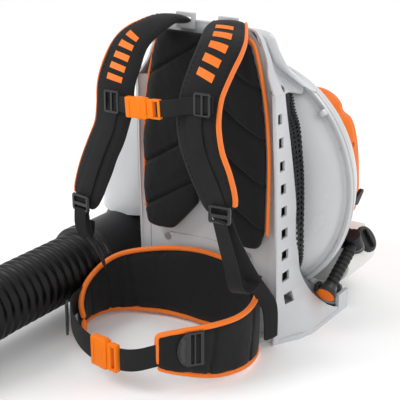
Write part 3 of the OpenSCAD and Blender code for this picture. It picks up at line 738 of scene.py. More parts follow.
@dataclass
class ShoulderStrap:
    """A padded strap from the frame's top edge over the shoulder to its ladder lock."""

    name: str
    node: str
    side: int
    stations: list[list[float]]
    motif_from: float
    motif_to: float
    piping_edge: int
    piping_r: tuple[float, float] = (2.6, 5.0)
    web_run: tuple[float, float] = (0.5, 0.97)
    web_half: float = 12.5
    power: float = 2.5
    crown: float = 0.25
    seam_side: float = 0.80
    stitch_count: int = 45
    motif_bars: int = 5
    motif_half: float = 0.42

    def point(self, v: float, s: float, lift: float = 0.0) -> Vector:
        """A place on the outer face.

        Args:
            v: Share of the strap's length from its anchor.
            s: Place across, from -1 to 1.
            lift: Height above the face in millimetres.

        Returns:
            The point in millimetres.
        """
        centre, across, through, width, thick = band_frame(self.stations, v)
        high = thick * max(1 - abs(s) ** self.power, 0) ** (1 / self.power) * (1 + self.crown * (1 - s * s))
        return centre + across * s * width + through * (high + lift)

    def build(self) -> None:
        """Make the pad, its tape, its print and its webbing."""
        strap = sweep(self.name, self.stations, oval(28, self.power), 90, end=0.05, crown=self.crown)
        for corner in strap.data.vertices:
            p = corner.co / MM
            corner.co += corner.normal * MM * (0.9 * noise.noise(p * 0.03) + 0.35 * noise.noise(p * 0.12))
        modify(strap, "SUBSURF", levels=1, render_levels=1)
        shade(strap, 60)
        mount(strap, "root", CLOTH, [self.node])
        self.tape()
        self.stitching()
        self.face_webbing()
        self.motif()

    def tape(self) -> None:
        """The orange binding folded over the outer edge."""
        rows = []
        for k in range(25):
            v = 0.02 + 0.95 * k / 24
            yaw = along(self.stations, v)[5]
            edge = self.point(v, self.piping_edge * 0.999, -1.0)
            rows.append([*edge, self.piping_r[0], self.piping_r[1], yaw])
        tape = sweep(f"{self.name}_binding", rows, oval(14, 2.4), 120, end=0.01)
        mount(tape, "root", BINDING)

    def stitching(self) -> None:
        """A sewn line on each side of the face, as short threads."""
        lines = []
        for side in (-self.seam_side, self.seam_side):
            def place(u: float, v: float, s: float = side) -> Vector:
                """One corner of the thread, which dips between stitches."""
                thread = 0.5 + 0.5 * math.copysign(1, math.sin(v * math.pi * 2 * self.stitch_count))
                a = 2 * math.pi * u
                return self.point(0.06 + 0.88 * v, s + 0.018 * math.cos(a), 0.5 * thread * (1 + math.sin(a)) - 0.3) * MM

            line = surface("stitches", 6, 360, place)
            weld(line)
            lines.append(line)
        mount(join(f"{self.name}_stitching", lines), "root", WEB)

    def face_webbing(self) -> None:
        """The 25 mm webbing sewn down the lower half of the face, ending just short of the adjuster."""
        first, last = self.web_run
        section = oval(16, 6)

        def place(u: float, v: float) -> Vector:
            """One corner of the webbing, which ripples a little."""
            s, t = section[round(u * len(section)) % len(section)]
            at = first + (last - first) * v
            width = along(self.stations, at)[3]
            return self.point(at, s * self.web_half / width, 1.4 + t * 1.1 + 0.3 * math.sin(v * 22)) * MM

        band = surface(f"{self.name}_webbing", 16, 90, place)
        weld(band)
        shade(band, 50)
        mount(band, "root", WEB)

    def motif(self) -> None:
        """A plain row of slanted bars printed on the outer face."""
        bars = []
        span = (self.motif_to - self.motif_from) / self.motif_bars
        for k in range(self.motif_bars):
            def place(u: float, v: float, start: float = self.motif_from + k * span) -> Vector:
                """One corner of a slanted bar."""
                s = self.motif_half * (2 * u - 1)
                return self.point(start + span * (0.55 * v + 0.30 * u), s, 0.35) * MM

            bar = surface("bar", 10, 6, place)
            weld(bar, fill=False)
            modify(bar, "SOLIDIFY", thickness=0.3 * MM, offset=0)
            bars.append(bar)
        print_rows = join(f"{self.name}_print", bars)
        shade(print_rows, 60)
        mount(print_rows, "root", PRINT)


@dataclass
class HipBelt:
    """The padded belt, its binding and its webbing; its sliders and buckle are made with the other hardware."""

    route: tuple[tuple[float, float, float, float], ...] = (
        (-118, -170, 14, 42), (-136, -156, 13, 58), (-150, -130, 12, 74), (-155, -98, 11, 88),
        (-147, -66, 9, 103), (-122, -42, 8, 114), (-64, -19, 7, 126), (0, -15, 6, 134), (64, -19, 7, 130),
        (118, -40, 8, 118), (138, -78, 8, 106), (140, -122, 10, 100), (122, -166, 14, 98),
        (90, -208, 28, 96), (66, -232, 40, 92))
    half_thick: float = 5.6
    binding_r: tuple[float, float] = (4.4, 3.2)
    creases: tuple[float, ...] = (0.17, 0.27, 0.36, 0.645, 0.74, 0.86)
    length: float = 620.0
    samples: int = 200
    middles: list[Vector] = field(default_factory=list)

    def station(self, v: float) -> tuple[Vector, Vector, Vector, float]:
        """Middle, tangent, outward direction and half height at a share v of the belt's length."""
        x, y, low, high = along(self.route, v)
        a, b = along(self.route, max(v - LOOK, 0)), along(self.route, min(v + LOOK, 1))
        tangent = Vector((b[0] - a[0], b[1] - a[1], 0)).normalized()
        return Vector((x, y, (low + high) / 2)), tangent, Vector((tangent.y, -tangent.x, 0)), (high - low) / 2

    def point(self, v: float, s: float, out: float) -> Vector:
        """A place on the belt: s up its height from -1 to 1, out in mm from its middle sheet, to the wearer's side."""
        middle, _, normal, half = self.station(v)
        return middle + Vector((0, 0, s * half)) + normal * out

    def build(self) -> None:
        """Make every piece of the belt."""
        self.pad()
        self.binding()
        self.webbing()

    def pad(self) -> None:
        """The padded band itself, puffed by simulation and then sewn."""
        section = oval(24, 3.2)
        count = len(section)

        def place(u: float, v: float) -> Vector:
            """One corner of the band's skin."""
            s, t = section[round(u * count) % count]
            close = rounding(v, 0.03)
            return self.point(v, s * (0.8 + 0.2 * close) * 1.04, t * self.half_thick * 0.8 * close) * MM

        band = surface("hip_belt_pad", count, 110, place)
        weld(band, 2e-5)
        inflate(band, 4.5, 4.0, 3.0, 14)
        for corner in band.data.vertices:
            p = corner.co / MM
            v = self.nearest(p)
            pull = 0.0
            for crease in self.creases:
                pull += math.exp(-(((v - crease) * self.length + 0.12 * (p.z - 60)) / 3.2) ** 2)
            ripple = 0.9 * noise.noise(p * 0.03) + 0.4 * noise.noise(p * 0.09)
            corner.co -= corner.normal * MM * (min(pull, 1) * 2.6 + ripple)
        shade(band, 60)
        mount(band, "root", CLOTH, ["belt_back", "belt_wings"])

    def nearest(self, p: Vector) -> float:
        """The share of the belt's length nearest to a point."""
        if not self.middles:
            self.middles.extend(self.station(k / self.samples)[0] for k in range(self.samples + 1))
        return min(((middle.x - p.x) ** 2 + (middle.y - p.y) ** 2, k / self.samples)
                   for k, middle in enumerate(self.middles))[1]

    def binding(self) -> None:
        """Orange tape round the whole edge of the belt."""
        loop = []
        for k in range(60):
            loop.append(self.point(0.012 + 0.976 * k / 59, 0.97, 0))
        for k in range(1, 8):
            loop.append(self.point(0.990, 0.97 - 1.94 * k / 8, 0))
        for k in range(60):
            loop.append(self.point(0.988 - 0.976 * k / 59, -0.97, 0))
        for k in range(1, 8):
            loop.append(self.point(0.010, -0.97 + 1.94 * k / 8, 0))
        mount(tube_loop("hip_belt_binding", loop, self.binding_r), "root", BINDING)

    def webbing(self) -> None:
        """Webbing from both wings to the buckle, without the folded tail on the right wing."""
        rows = []
        for route in (((-152, -128, 58), (-140, -172, 58), (-118, -200, 58), (-92, -222, 55),
                       (-62, -240, 53), (-34, -251, 52)),
                      ((24, -260, 54), (38, -257, 55), (52, -249, 57), (64, -238, 60), (78, -221, 62),
                       (94, -203, 60))):
            rows.append(upright_ribbon(route, 38 if route[0][0] < 0 else 36, 2.2))
        mount(join("hip_belt_webbing", rows), "root", WEB, ["belt_webbing"])


def tube_loop(name: str, loop: Sequence[Vector], radii: tuple[float, float]) -> bpy.types.Object:
    """A closed ring of tape through points in millimetres; radii are its half height and half width."""
    n = len(loop)
    count = 10
    sides: list[Vector] = []
    for k in range(n):
        tangent = (loop[(k + 1) % n] - loop[k - 1]).normalized()
        flat = Vector((tangent.y, -tangent.x, 0))
        side = flat.normalized() if flat.length > 0.05 else Vector((1, 0, 0))
        if sides and side.dot(sides[-1]) < 0 and flat.length <= 0.3:
            side = -side
        sides.append(side)

    def place(u: float, v: float) -> Vector:
        """One corner of the tape's skin."""
        k = round(v * n) % n
        up = sides[k].cross((loop[(k + 1) % n] - loop[k - 1]).normalized())
        a = 2 * math.pi * round(u * count) / count
        return (loop[k] + sides[k] * math.cos(a) * radii[1] * 1.5 + up * math.sin(a) * radii[0]) * MM

    ring = surface(name, count, n, place)
    weld(ring, 2e-5, fill=False)
    modify(ring, "SUBSURF", levels=1, render_levels=1)
    shade(ring, 60)
    return ring


def upright_ribbon(route: Sequence[Point], height: float, thick: float) -> bpy.types.Object:
    """A webbing strap standing on edge along points in millimetres."""
    section = oval(12, 7)

    def place(u: float, v: float) -> Vector:
        """One corner of the webbing's skin."""
        x, y, z = along(route, v)
        a, b = along(route, max(v - 0.02, 0)), along(route, min(v + 0.02, 1))
        tangent = (Vector(b) - Vector(a)).normalized()
        side = Vector((tangent.y, -tangent.x, 0)).normalized()
        s, t = section[round(u * 12) % 12]
        return (Vector((x, y, z + t * height / 2)) + side * s * thick / 2) * MM

    band = surface("web", 12, 60, place)
    weld(band, 1e-6)
    shade(band, 40)
    return band


# ------------------------------------------------------------------ harness hardware

def pierced_plate(name: str, xs: Sequence[float], ys: Sequence[float], holes: Sequence[tuple[int, int]],
                  thick: float, round_corners: float = 0.0, bevel: float = 0.6) -> bpy.types.Object:
    """A flat plate in local X and Y with rectangular windows.

    Args:
        name: The piece's name.
        xs: Grid lines along X in millimetres.
        ys: Grid lines along Y in millimetres.
        holes: Cells (column, row) that are left open.
        thick: Thickness along Z in millimetres.
        round_corners: How far the four outer corners are drawn in.
        bevel: Width of the rounded edges.

    Returns:
        The closed plate, centred on Z = 0.
    """
    deselect()
    nx, ny = len(xs) - 1, len(ys) - 1
    bpy.ops.mesh.primitive_grid_add(x_subdivisions=nx, y_subdivisions=ny, size=1)
    plate = bpy.context.object
    plate.name = name
    for corner in plate.data.vertices:
        i, j = round((corner.co.x + 0.5) * nx), round((corner.co.y + 0.5) * ny)
        x, y = xs[i], ys[j]
        if round_corners and i in (0, nx) and j in (0, ny):
            x -= math.copysign(round_corners, x)
        corner.co = mm(x, y, 0)
    bpy.ops.object.mode_set(mode="EDIT")
    bpy.ops.mesh.select_mode(type="FACE")
    bpy.ops.mesh.select_all(action="DESELECT")
    made = bmesh.from_edit_mesh(plate.data)
    for face in made.faces:
        c = face.calc_center_median() / MM
        column = max(i for i in range(nx) if xs[i] < c.x)
        row = max(j for j in range(ny) if ys[j] < c.y)
        face.select = (column, row) in holes
    bmesh.update_edit_mesh(plate.data)
    bpy.ops.mesh.delete(type="FACE")
    bpy.ops.object.mode_set(mode="OBJECT")
    modify(plate, "SOLIDIFY", thickness=thick * MM, offset=0)
    modify(plate, "BEVEL", width=bevel * MM, segments=2, limit_method="ANGLE", angle_limit=math.radians(40))
    shade(plate)
    return plate


@dataclass
class Hardware:
    """Buckles, ladder locks, adjusters and the free webbing of the harness."""

    slider_half: float = 27.0
    slider_thick: float = 4.0
    lower_web: float = 25.0
    tail_web: float = 22.0
    chest_web: float = 24.0

    def facing(self, at: Point, yaw: float) -> Matrix:
        """A placing that stands a flat plate up to face -Y and then turns it by yaw degrees."""
        return shifted(*at) @ turned(yaw, "Z") @ turned(90, "X")

    def ladder_lock(self, name: str, at: Point, yaw: float) -> bpy.types.Object:
        """A two-window ladder lock with a rounded lifting tongue, facing -Y before its turn."""
        frame_part = pierced_plate("lock", (-17, -12.5, 12.5, 17), (-13, -9.5, -4.5, 0.5, 5.5, 9.5, 13),
                                   ((1, 1), (1, 3), (1, 4)), 4.0, 1.5)
        tongue = lathe("tongue", [(17, -1.8), (17.2, 0), (16, 1.8), (8, 2.6), (0.5, 2.8)], 40)
        weld(tongue)
        for corner in tongue.data.vertices:
            corner.co.y = min(corner.co.y, 0) * 0.62 - 11 * MM
        weld(tongue, 1e-5)
        whole = join(name, [frame_part, tongue])
        return put(whole, self.facing(at, yaw))

    def tri_glide(self, name: str, at: Point, yaw: float, w: float = 26, h: float = 34) -> bpy.types.Object:
        """A chest-strap adjuster with a waisted wire-like frame, facing -Y before its turn."""
        x, y = w / 2, h / 2
        part = pierced_plate(name, (-x, -x + 3.2, -1.6, 1.6, x - 3.2, x), (-y, -y + 3.2, y - 3.2, y),
                             ((1, 1), (3, 1)), 3.6, 2.0)
        for corner in part.data.vertices:
            if abs(corner.co.y) < (y - 4) * MM:
                corner.co.x *= 0.94
        return put(part, self.facing(at, yaw))

    def side_release(self, name: str, w: float, h: float, t: float) -> bpy.types.Object:
        """A closed side-release buckle along local X, h tall along Z and t thick along Y."""
        parts = [box("shell", (-w * 0.48, -t / 2, -h / 2), (w * 0.12, t / 2, h / 2), 1.6, 3),
                 box("throat", (w * 0.12, -t * 0.32, -h * 0.30), (w * 0.22, t * 0.32, h * 0.30), 0.8),
                 box("bar_end", (w * 0.22, -t * 0.45, -h * 0.46), (w * 0.30, t * 0.45, h * 0.46), 1.2, 3)]
        for side in (-1, 1):
            parts.append(box("prong", (w * 0.10, -t * 0.34, side * h * 0.36 - h * 0.09),
                             (w * 0.24, t * 0.34, side * h * 0.36 + h * 0.09), 1.0))
            parts.append(box("button", (-w * 0.16, -t * 0.40, side * h * 0.485 - h * 0.045),
                             (w * 0.06, t * 0.40, side * h * 0.485 + h * 0.045), 1.0))
            parts.append(box("arm", (w * 0.28, -t * 0.36, side * h * 0.42 - h * 0.05),
                             (w * 0.48, t * 0.36, side * h * 0.42 + h * 0.05), 0.8))
        parts.append(box("loop_bar", (w * 0.42, -t * 0.36, -h * 0.42), (w * 0.49, t * 0.36, h * 0.42), 0.8))
        parts.append(box("ridge", (-w * 0.40, -t * 0.58, -h * 0.36), (-w * 0.34, -t * 0.45, h * 0.36), 0.5))
        parts.append(box("arrow_ridge", (-w * 0.10, -t * 0.56, -h * 0.14), (-w * 0.02, -t * 0.45, h * 0.14), 0.5))
        return join(name, parts)

    def build(self) -> None:
        """Make every piece of hardware."""
        locks = [self.ladder_lock("lock_right_hand", (-112, -174, 240), -6),
                 self.ladder_lock("lock_left_hand", (137, -174, 273), 6),
                 self.tri_glide("chest_adjuster", (-60, -158, 401), 0),
                 self.tri_glide("chest_adjuster", (97, -158, 419), 4)]
        for at, yaw, w in (((106, -200, 68), 52, 40), ((-134, -192, 52), -52, 26)):
            slider = pierced_plate("belt_slider", (-1, 0, w * 0.12, w * 0.19, w * 0.36, w / 2),
                                   (-self.slider_half, -23.5, -20, -15, -8, 0, 8, 15, 20, 23.5, self.slider_half),
                                   [(column, row) for column in (1, 3) for row in range(1, 9)], self.slider_thick)
            for corner in slider.data.vertices:
                if corner.co.x < -0.4 * MM:
                    corner.co.x -= w * 0.5 * MM * math.sqrt(max(1 - (corner.co.y / (27.4 * MM)) ** 2, 0))
            locks.append(put(slider, self.facing(at, yaw)))
        mount(join("ladder_locks_and_sliders", locks), "root", ADJUSTER_GREY,
              ["strap_adjusters"])
        chest = self.side_release("chest_side_release", 62, 30, 10)
        put(chest, shifted(2, -164, 402) @ turned(-4, "Y"))
        mount(chest, "root", ORANGE_ABS, ["chest_buckle"])
        waist = self.side_release("waist_side_release", 54, 46, 13)
        put(waist, shifted(-6, -256, 53) @ turned(-9, "Z"))
        mount(waist, "root", ORANGE_ABS, ["belt_buckle"])
        self.straps()

    def straps(self) -> None:
        """The chest strap and the lower webbing with its looped tails."""
        bands = [upright_ribbon(route, self.chest_web, 2.0) for route in (
            ((-80, -154, 400), (-60, -156, 400), (-40, -159, 400), (-24, -163, 401)),
            ((26, -165, 404), (52, -166, 410), (74, -161, 415), (112, -154, 420)))]
        for rows in (((-112, -171, 250, 0), (-114, -167, 216, -4), (-122, -146, 172, -16), (-134, -112, 130, -40),
                      (-141, -86, 100, -56)),
                     ((137, -171, 284, 0), (140, -150, 235, 8), (144, -108, 166, 24), (148, -74, 120, 40),
                      (150, -52, 84, 56), (148, -44, 30, 66))):
            bands.append(ribbon("lower_webbing", rows, self.lower_web, 2.2, 60))
        for rows in (((-112, -176, 232, 0), (-113, -176, 206, 0), (-114, -168, 186, 0), (-115, -160, 180, 0),
                      (-116, -153, 188, 0), (-117, -150, 204, 0)),
                     ((137, -176, 266, 0), (139, -163, 226, 8), (140, -146, 180, 16), (140, -136, 150, 20),
                      (141, -120, 136, 24), (144, -98, 142, 28), (145, -90, 156, 30))):
            bands.append(ribbon("tail", rows, self.tail_web, 2.0, 60))
        mount(join("harness_webbing_bands", bands), "root", WEB, ["harness_webbing"])


# ------------------------------------------------------------------ frame

@dataclass
class FrameShell:
    """The light grey moulding: plate, side rails that flare into the foot, and upper part."""

    rail_x: float = 131.0
    rail_top: float = 404.0
    skin_wall: float = 3.0
    rail_wall: float = 4.0
    slots: int = 9
    edge: tuple[tuple[float, float], ...] = (
        (404, 17), (320, 36), (225, 54), (137, 66), (100, 73), (78, 82), (56, 93), (40, 106), (26, 122), (17, 138),
        (12, 152), (12, 162), (17, 172), (30, 180), (38, 184))

    def outline(self) -> list[tuple[float, float]]:
        """The side wall's outline as (y, z), from the top of the front edge round to the top of the rear edge."""
        front = [(-13, 404), (-9, 320), (-5, 221), (-2, 150), (0, 93), (-4, 50), (-10, 20), (-12, 0)]
        floor = [(60, 0), (120, 0), (184, 0)]
        return front + floor + [(y, z) for z, y in reversed(self.edge)]

    def flare(self, y: float, z: float) -> float:
        """How far the wall stands out at a height: straight above, swept out to the foot below."""
        low = smooth((118 - z) / 118) ** 1.6
        reach = 9 + 26 * smooth((y + 6) / 74)
        lean = -4 * smooth((z - 221) / 180)
        return self.rail_x + low * (reach if y > -6 else 9 * smooth((y + 20) / 20)) + lean

    def wall(self, side: int, name: str) -> bpy.types.Object:
        """One side wall with its row of slots."""
        deselect()
        outline = self.outline()
        bpy.ops.mesh.primitive_circle_add(vertices=len(outline), fill_type="NGON", radius=0.1)
        wall = bpy.context.object
        wall.name = name
        for corner, (y, z) in zip(wall.data.vertices, outline):
            corner.co = mm(0, y, z)
        cuts = [(0, 0, z) for z in range(6, 400, 12)]
        windows = []
        for k in range(self.slots):
            z, y, w = 68 + k * 37.2, 31 - k * 3.4, 23 - k * 1.4
            windows.append((y - w / 2, y + w / 2, z - 8, z + 8))
            cuts += [(0, 0, z - 8), (0, 0, z + 8)]
        bpy.ops.object.mode_set(mode="EDIT")
        for cut in cuts:
            bpy.ops.mesh.select_all(action="SELECT")
            bpy.ops.mesh.bisect(plane_co=mm(*cut), plane_no=(0, 0, 1))
        for low, high, bottom, top in windows:
            for y in (low, high):
                self.select_between(wall, bottom, top)
                bpy.ops.mesh.bisect(plane_co=mm(0, y, 0), plane_no=(0, 1, 0))
        for y in range(10, 184, 12):
            self.select_between(wall, 0, 60)
            bpy.ops.mesh.bisect(plane_co=mm(0, y, 0), plane_no=(0, 1, 0))
        bpy.ops.mesh.select_mode(type="FACE")
        bpy.ops.mesh.select_all(action="DESELECT")
        made = bmesh.from_edit_mesh(wall.data)
        for face in made.faces:
            c = face.calc_center_median() / MM
            face.select = any(a < c.y < b and d < c.z < e for a, b, d, e in windows)
        bmesh.update_edit_mesh(wall.data)
        bpy.ops.mesh.delete(type="FACE")
        bpy.ops.mesh.select_mode(type="VERT")
        bpy.ops.object.mode_set(mode="OBJECT")
        for corner in wall.data.vertices:
            _, y, z = corner.co / MM
            corner.co.x = side * self.flare(y, z) * MM
        weld(wall, 1e-6, fill=False)
        inward = sum((face.normal.x * side for face in wall.data.polygons), 0.0) < 0
        modify(wall, "SOLIDIFY", thickness=self.rail_wall * MM, offset=1 if inward else -1)
        modify(wall, "BEVEL", width=1.2 * MM, segments=3, limit_method="ANGLE", angle_limit=math.radians(45))
        shade(wall, 40)
        return wall

    def select_between(self, piece: bpy.types.Object, low: float, high: float) -> None:
        """Select the faces whose middle lies between two heights in millimetres."""
        bpy.ops.mesh.select_mode(type="FACE")
        bpy.ops.mesh.select_all(action="DESELECT")
        made = bmesh.from_edit_mesh(piece.data)
        for face in made.faces:
            face.select = low < face.calc_center_median().z / MM < high
        bmesh.update_edit_mesh(piece.data)

    def front_return(self, side: int) -> bpy.types.Object:
        """The rolled front edge that joins a side wall to the plate."""
        def place(u: float, v: float) -> Vector:
            """One corner of the rolled edge."""
            z = self.rail_top * v
            y0 = lerp_table([(0, -12), (20, -10), (50, -4), (93, 0), (150, -2), (221, -5), (320, -9), (404, -13)], z)
            wall_x = self.flare(y0, z) - 0.5
            inner = lerp_table([(0, 112), (300, 115), (404, 104)], z)
            a = u * math.pi / 2
            x = inner + (wall_x - inner) * math.sin(a) ** 0.6
            y = 3.5 + (y0 - 3.5) * (1 - math.cos(a)) ** 0.5 if u < 0.999 else y0 + 1.5
            return mm(side * x, y, z)

        return skin("return", 10, 44, place, self.skin_wall, angle=60)

    def liner(self, side: int) -> bpy.types.Object:
        """The dark grey trough inside a side wall, from the rail's back edge down round the starter grip."""
        def place(u: float, v: float) -> Vector:
            """One corner of the trough, u across it and v down the rail's back edge."""
            z, y = along(self.edge, v)
            x = self.flare(y, z) - 4.5
            tangent = Vector(along(self.edge, min(v + 0.01, 1))) - Vector(along(self.edge, max(v - 0.01, 0)))
            normal = Vector((-tangent.y, tangent.x)).normalized()
            if normal.y < 0:
                normal = -normal
            reach = 3 + 21 * u * smooth(0.25 + (1 - v) * 3)
            return mm(side * (x - 20 * u * u - 1.0), y + normal.y * reach, max(z + normal.x * reach, 2.5))

        return skin("trough", 12, 80, place, 2.0, angle=60)

    def neck(self) -> bpy.types.Object:
        """The moulded neck: from the plate's top edge over a ridge and a groove back to the housing's flange."""
        lines = (((126, -12, 402), (110, -4, 428), (104, 1, 449), (96, 3, 467), (88, 3, 484), (72, 3, 494),
                  (0, 3, 497)),
                 ((127, 4, 402), (110, 10, 430), (103, 13, 450), (95, 14, 466), (87, 14, 482), (71, 14, 492),
                  (0, 14, 495)),
                 ((126, 14, 401), (107, 17, 429), (99, 19, 448), (92, 19, 465), (84, 19, 480), (68, 19, 490),
                  (0, 19, 494)),
                 ((119, 30, 397), (100, 36, 419), (90, 38, 438), (82, 36, 456), (73, 34, 472), (59, 33, 483),
                  (0, 32, 488)),
                 ((107, 70, 391), (88, 82, 397), (73, 80, 404), (69, 76, 418), (60, 72, 441), (50, 66, 463),
                  (0, 62, 470)),
                 ((110, 101, 383), (80, 99, 400), (66, 92, 410), (62, 86, 422), (54, 80, 444), (46, 74, 463),
                  (0, 70, 468)),
                 ((109, 107, 387), (79, 106, 403), (66, 99, 412), (62, 93, 424), (55, 88, 446), (46, 82, 464),
                  (0, 80, 468)),
                 ((110, 107, 391), (81, 105, 409), (69, 99, 418), (65, 93, 428), (58, 88, 450), (48, 84, 468),
                  (0, 82, 472)),
                 ((112, 104, 392), (83, 102, 410), (71, 97, 419), (67, 91, 429), (60, 86, 451), (50, 82, 469),
                  (0, 80, 473)),
                 ((125, 109, 385), (96, 108, 403), (82, 103, 414), (76, 98, 424), (67, 93, 443), (53, 88, 471),
                  (0, 86, 475)),
                 ((126, 118, 384), (97, 117, 402), (82, 112, 413), (76, 107, 423), (67, 102, 442), (52, 97, 470),
                  (0, 95, 474)),
                 ((118, 121, 374), (92, 121, 392), (78, 116, 402), (72, 112, 412), (64, 106, 430), (50, 101, 460),
                  (0, 99, 464)))

        def place(u: float, v: float) -> Vector:
            """One corner of the neck, mirrored about its middle."""
            t = 1 - abs(2 * u - 1)
            rows = [along(line, t) for line in lines]
            x, y, z = along(rows, v)
            return mm(x if u > 0.5 else -x - 20 * smooth((y - 40) / 60), y, z)

        return skin("neck", 72, 77, place, self.skin_wall, angle=35)

    def plate(self) -> bpy.types.Object:
        """The plate behind the pad, dished between ribs, closed up to the top edge."""
        def place(u: float, v: float) -> Vector:
            """One corner of the plate's dished face."""
            z = 6 + 489 * v
            half = lerp_table([(0, 118), (300, 118), (404, 116), (430, 107), (450, 101), (470, 93), (497, 68)], z)
            x = (2 * u - 1) * half
            dish = 1.4 * smooth((half - abs(x)) / 18)
            return mm(x, 4.4 + dish * 0.6, z)

        plate = surface("plate", 40, 80, place)
        modify(plate, "SOLIDIFY", thickness=self.skin_wall * MM, offset=0)
        shade(plate, 45)
        return plate

    def build(self) -> None:
        """Make the frame's visible shell."""
        mount(self.plate(), "root", SHELL_GREY, ["back_plate"])
        walls = []
        for side, name in ((1, "side_wall_left"), (-1, "side_wall_right")):
            walls += [self.wall(side, name), self.front_return(side)]
        mount(join("side_rails_shell", walls), "root", SHELL_GREY, ["side_rails"])
        mount(join("grey_troughs", [self.liner(1), self.liner(-1)]), "root", TROUGH_GREY)
        mount(self.neck(), "root", HOUSING, ["upper_frame"])
        # Near-black boxes just inside each slotted side wall: painted shade for the dark hollow seen through the slots.
        shaded_slot_fills = [box("slot_shade_fill", (side * 119 - 3, 4, 56), (side * 119 + 3, 42, 396), 1) for side in (1, -1)]
        mount(join("slot_backings_painted_shade", shaded_slot_fills), "root", PAINTED_SLOT_SHADE)


# ------------------------------------------------------------------ fan unit

@dataclass
class FanUnit:
    """Grille, housing halves and the scroll's outlet."""

    x: float = -10.0
    z: float = 224.0
    growth: float = 24.0
    clip_turn: float = 50.0
    mouth: tuple[tuple[float, float], ...] = (
        (0, 52), (60, 53), (100, 70), (122, 96), (132, 130), (134, 186), (133, 240), (129, 284), (120, 331),
        (107, 358), (92, 382), (60, 394), (0, 396), (-60, 394), (-92, 382), (-107, 358), (-120, 331), (-129, 284),
        (-133, 240), (-134, 186), (-132, 130), (-122, 96), (-100, 70), (-60, 53))
    dome: tuple[tuple[float, float], ...] = (
        (100, 75), (145, 75.2), (154, 76.2), (164, 78.8), (173, 83), (181, 89), (188, 96), (192.5, 103), (194.5, 109))

    def placing(self) -> Matrix:
        """Local Z along the fan axis, pointing back."""
        return axes(mm(self.x, 0, self.z), Vector((0, 1, 0)))

    def scroll(self, r: float, h: float, a: float) -> float:
        """The scroll's radius at an angle: it widens over the top towards the outlet."""
        world = math.degrees(math.atan2(math.sin(a), -math.cos(a))) % 360
        share = smooth((world - 80) / 110) if world < 215 else 0.0
        return r + self.growth * share * smooth((r - 150) / 60)

    def build(self) -> None:
        """Make the fan unit's visible pieces."""
        front = lathe("fan_housing_front_shell", [
            *self.dome, (195.3, 110.8), (196.5, 111.6), (201.2, 111.8), (202.3, 110.8), (203, 109.2), (204, 108.6),
            (208.2, 108.6), (209.2, 109.4), (209.5, 110.8), (209.5, 115.2), (208, 116.2), (194, 116.2), (191, 106),
            (180, 92), (160, 81), (140, 78.5), (108, 78.5), (100, 75)], 192, self.scroll)
        put(front, self.placing())
        shade(front, 32)
        mount(front, "root", HOUSING, ["fan_housing_front"])
        rear = lathe("fan_housing_rear_shell", [
            (191, 117), (207, 117), (209.5, 118), (209.8, 119.5), (209.5, 121), (208, 122), (203, 122.4),
            (201.5, 124), (201.1, 132), (200, 142), (197, 152), (192, 163), (183, 173), (172, 180), (160, 184),
            (148, 185), (120, 185), (110, 184), (108, 176), (60, 174), (30, 174), (28, 172), (189, 168), (194, 150),
            (196, 130), (191, 117)], 192, self.scroll)
        put(rear, self.placing())
        shade(rear, 32)
        mount(rear, "root", HOUSING, ["fan_housing_rear"])
        clip = [box("clip", (-5, 96, -4), (5, 109, 5), 1.2), box("clip", (-3.5, 94, -2.5), (3.5, 99, 3), 0.8)]
        turn = turned(self.clip_turn, "Y")
        seat = mm(self.x, 0, self.z) + turn @ mm(0, 0, 205)
        mount(put(join("rim_clip", clip), Matrix.Translation(seat) @ turn), "root", HOUSING)
        self.duct()
        self.grille()

    def duct(self) -> None:
        """The scroll's outlet, from the housing's shoulder down to its round collar."""
        rings = [(-128, 116, 372, -46, 34, 30, 3.4), (-172, 116, 318, -50, 44, 34, 3.2),
                 (-203, 115, 258, -66, 50, 40, 3.0), (-217, 113, 205, -80, 57, 50, 2.6),
                 (-217, 111, 168, -90, 63, 62, 2.1), (-215, 110, 150, -90, 65.5, 65.5, 2.0),
                 (-215, 110, 133, -90, 66, 66, 2.0)]

        def place(u: float, v: float) -> Vector:
            """One corner of the outlet's skin, a rounded box that turns to a circle."""
            x, y, z, lean, radial, axial, power = along(rings, v)
            a = 2 * math.pi * u
            c, s = math.cos(a), math.sin(a)
            c = math.copysign(abs(c) ** (2 / power), c) * radial
            s = math.copysign(abs(s) ** (2 / power), s) * axial
            turn = math.radians(lean)
            side = Vector((-abs(math.sin(turn)), 0, math.cos(turn)))
            return mm(x, y, z) + (side * c + Vector((0, 1, 0)) * s) * MM

        mount(skin("scroll_outlet", 64, 60, place, 3.0, offset=-1), "root", HOUSING, ["volute_duct"])

    def grille(self) -> None:
        """The black intake band of square openings between frame and housing."""
        columns, rows = 148, 4
        deselect()
        bpy.ops.mesh.primitive_grid_add(x_subdivisions=columns * 2, y_subdivisions=rows * 2, size=1)
        band = bpy.context.object
        band.name = "intake_band"
        bpy.ops.object.mode_set(mode="EDIT")
        bpy.ops.mesh.select_mode(type="FACE")
        bpy.ops.mesh.select_all(action="DESELECT")
        made = bmesh.from_edit_mesh(band.data)
        for face in made.faces:
            c = face.calc_center_median()
            column, row = int((c.x + 0.5) * columns * 2), int((c.y + 0.5) * rows * 2)
            face.select = column % 2 == 0 and row % 2 == 1
        bmesh.update_edit_mesh(band.data)
        bpy.ops.mesh.delete(type="FACE")
        bpy.ops.mesh.select_mode(type="VERT")
        bpy.ops.object.mode_set(mode="OBJECT")
        loop = [*self.mouth, self.mouth[0]]
        for corner in band.data.vertices:
            u, v = corner.co.x + 0.5, corner.co.y + 0.5
            x, z = along(loop, u)
            depth = lerp_table(self.dome, math.hypot(x - self.x, z - self.z)) + 3
            taper = 0.955 + 0.045 * v
            corner.co = mm(x * taper, 46 + (depth - 46) * v, 220 + (z - 220) * (0.97 + 0.03 * v))
        weld(band, 1e-6, fill=False)
        modify(band, "SOLIDIFY", thickness=2.4 * MM, offset=0)
        shade(band, 30)

        def floor(u: float, v: float) -> Vector:
            """One corner of the basket's floor."""
            x, z = along(loop, u)
            return mm(x * 0.955 * v, 46, 220 + (z - 220) * 0.97 * v)

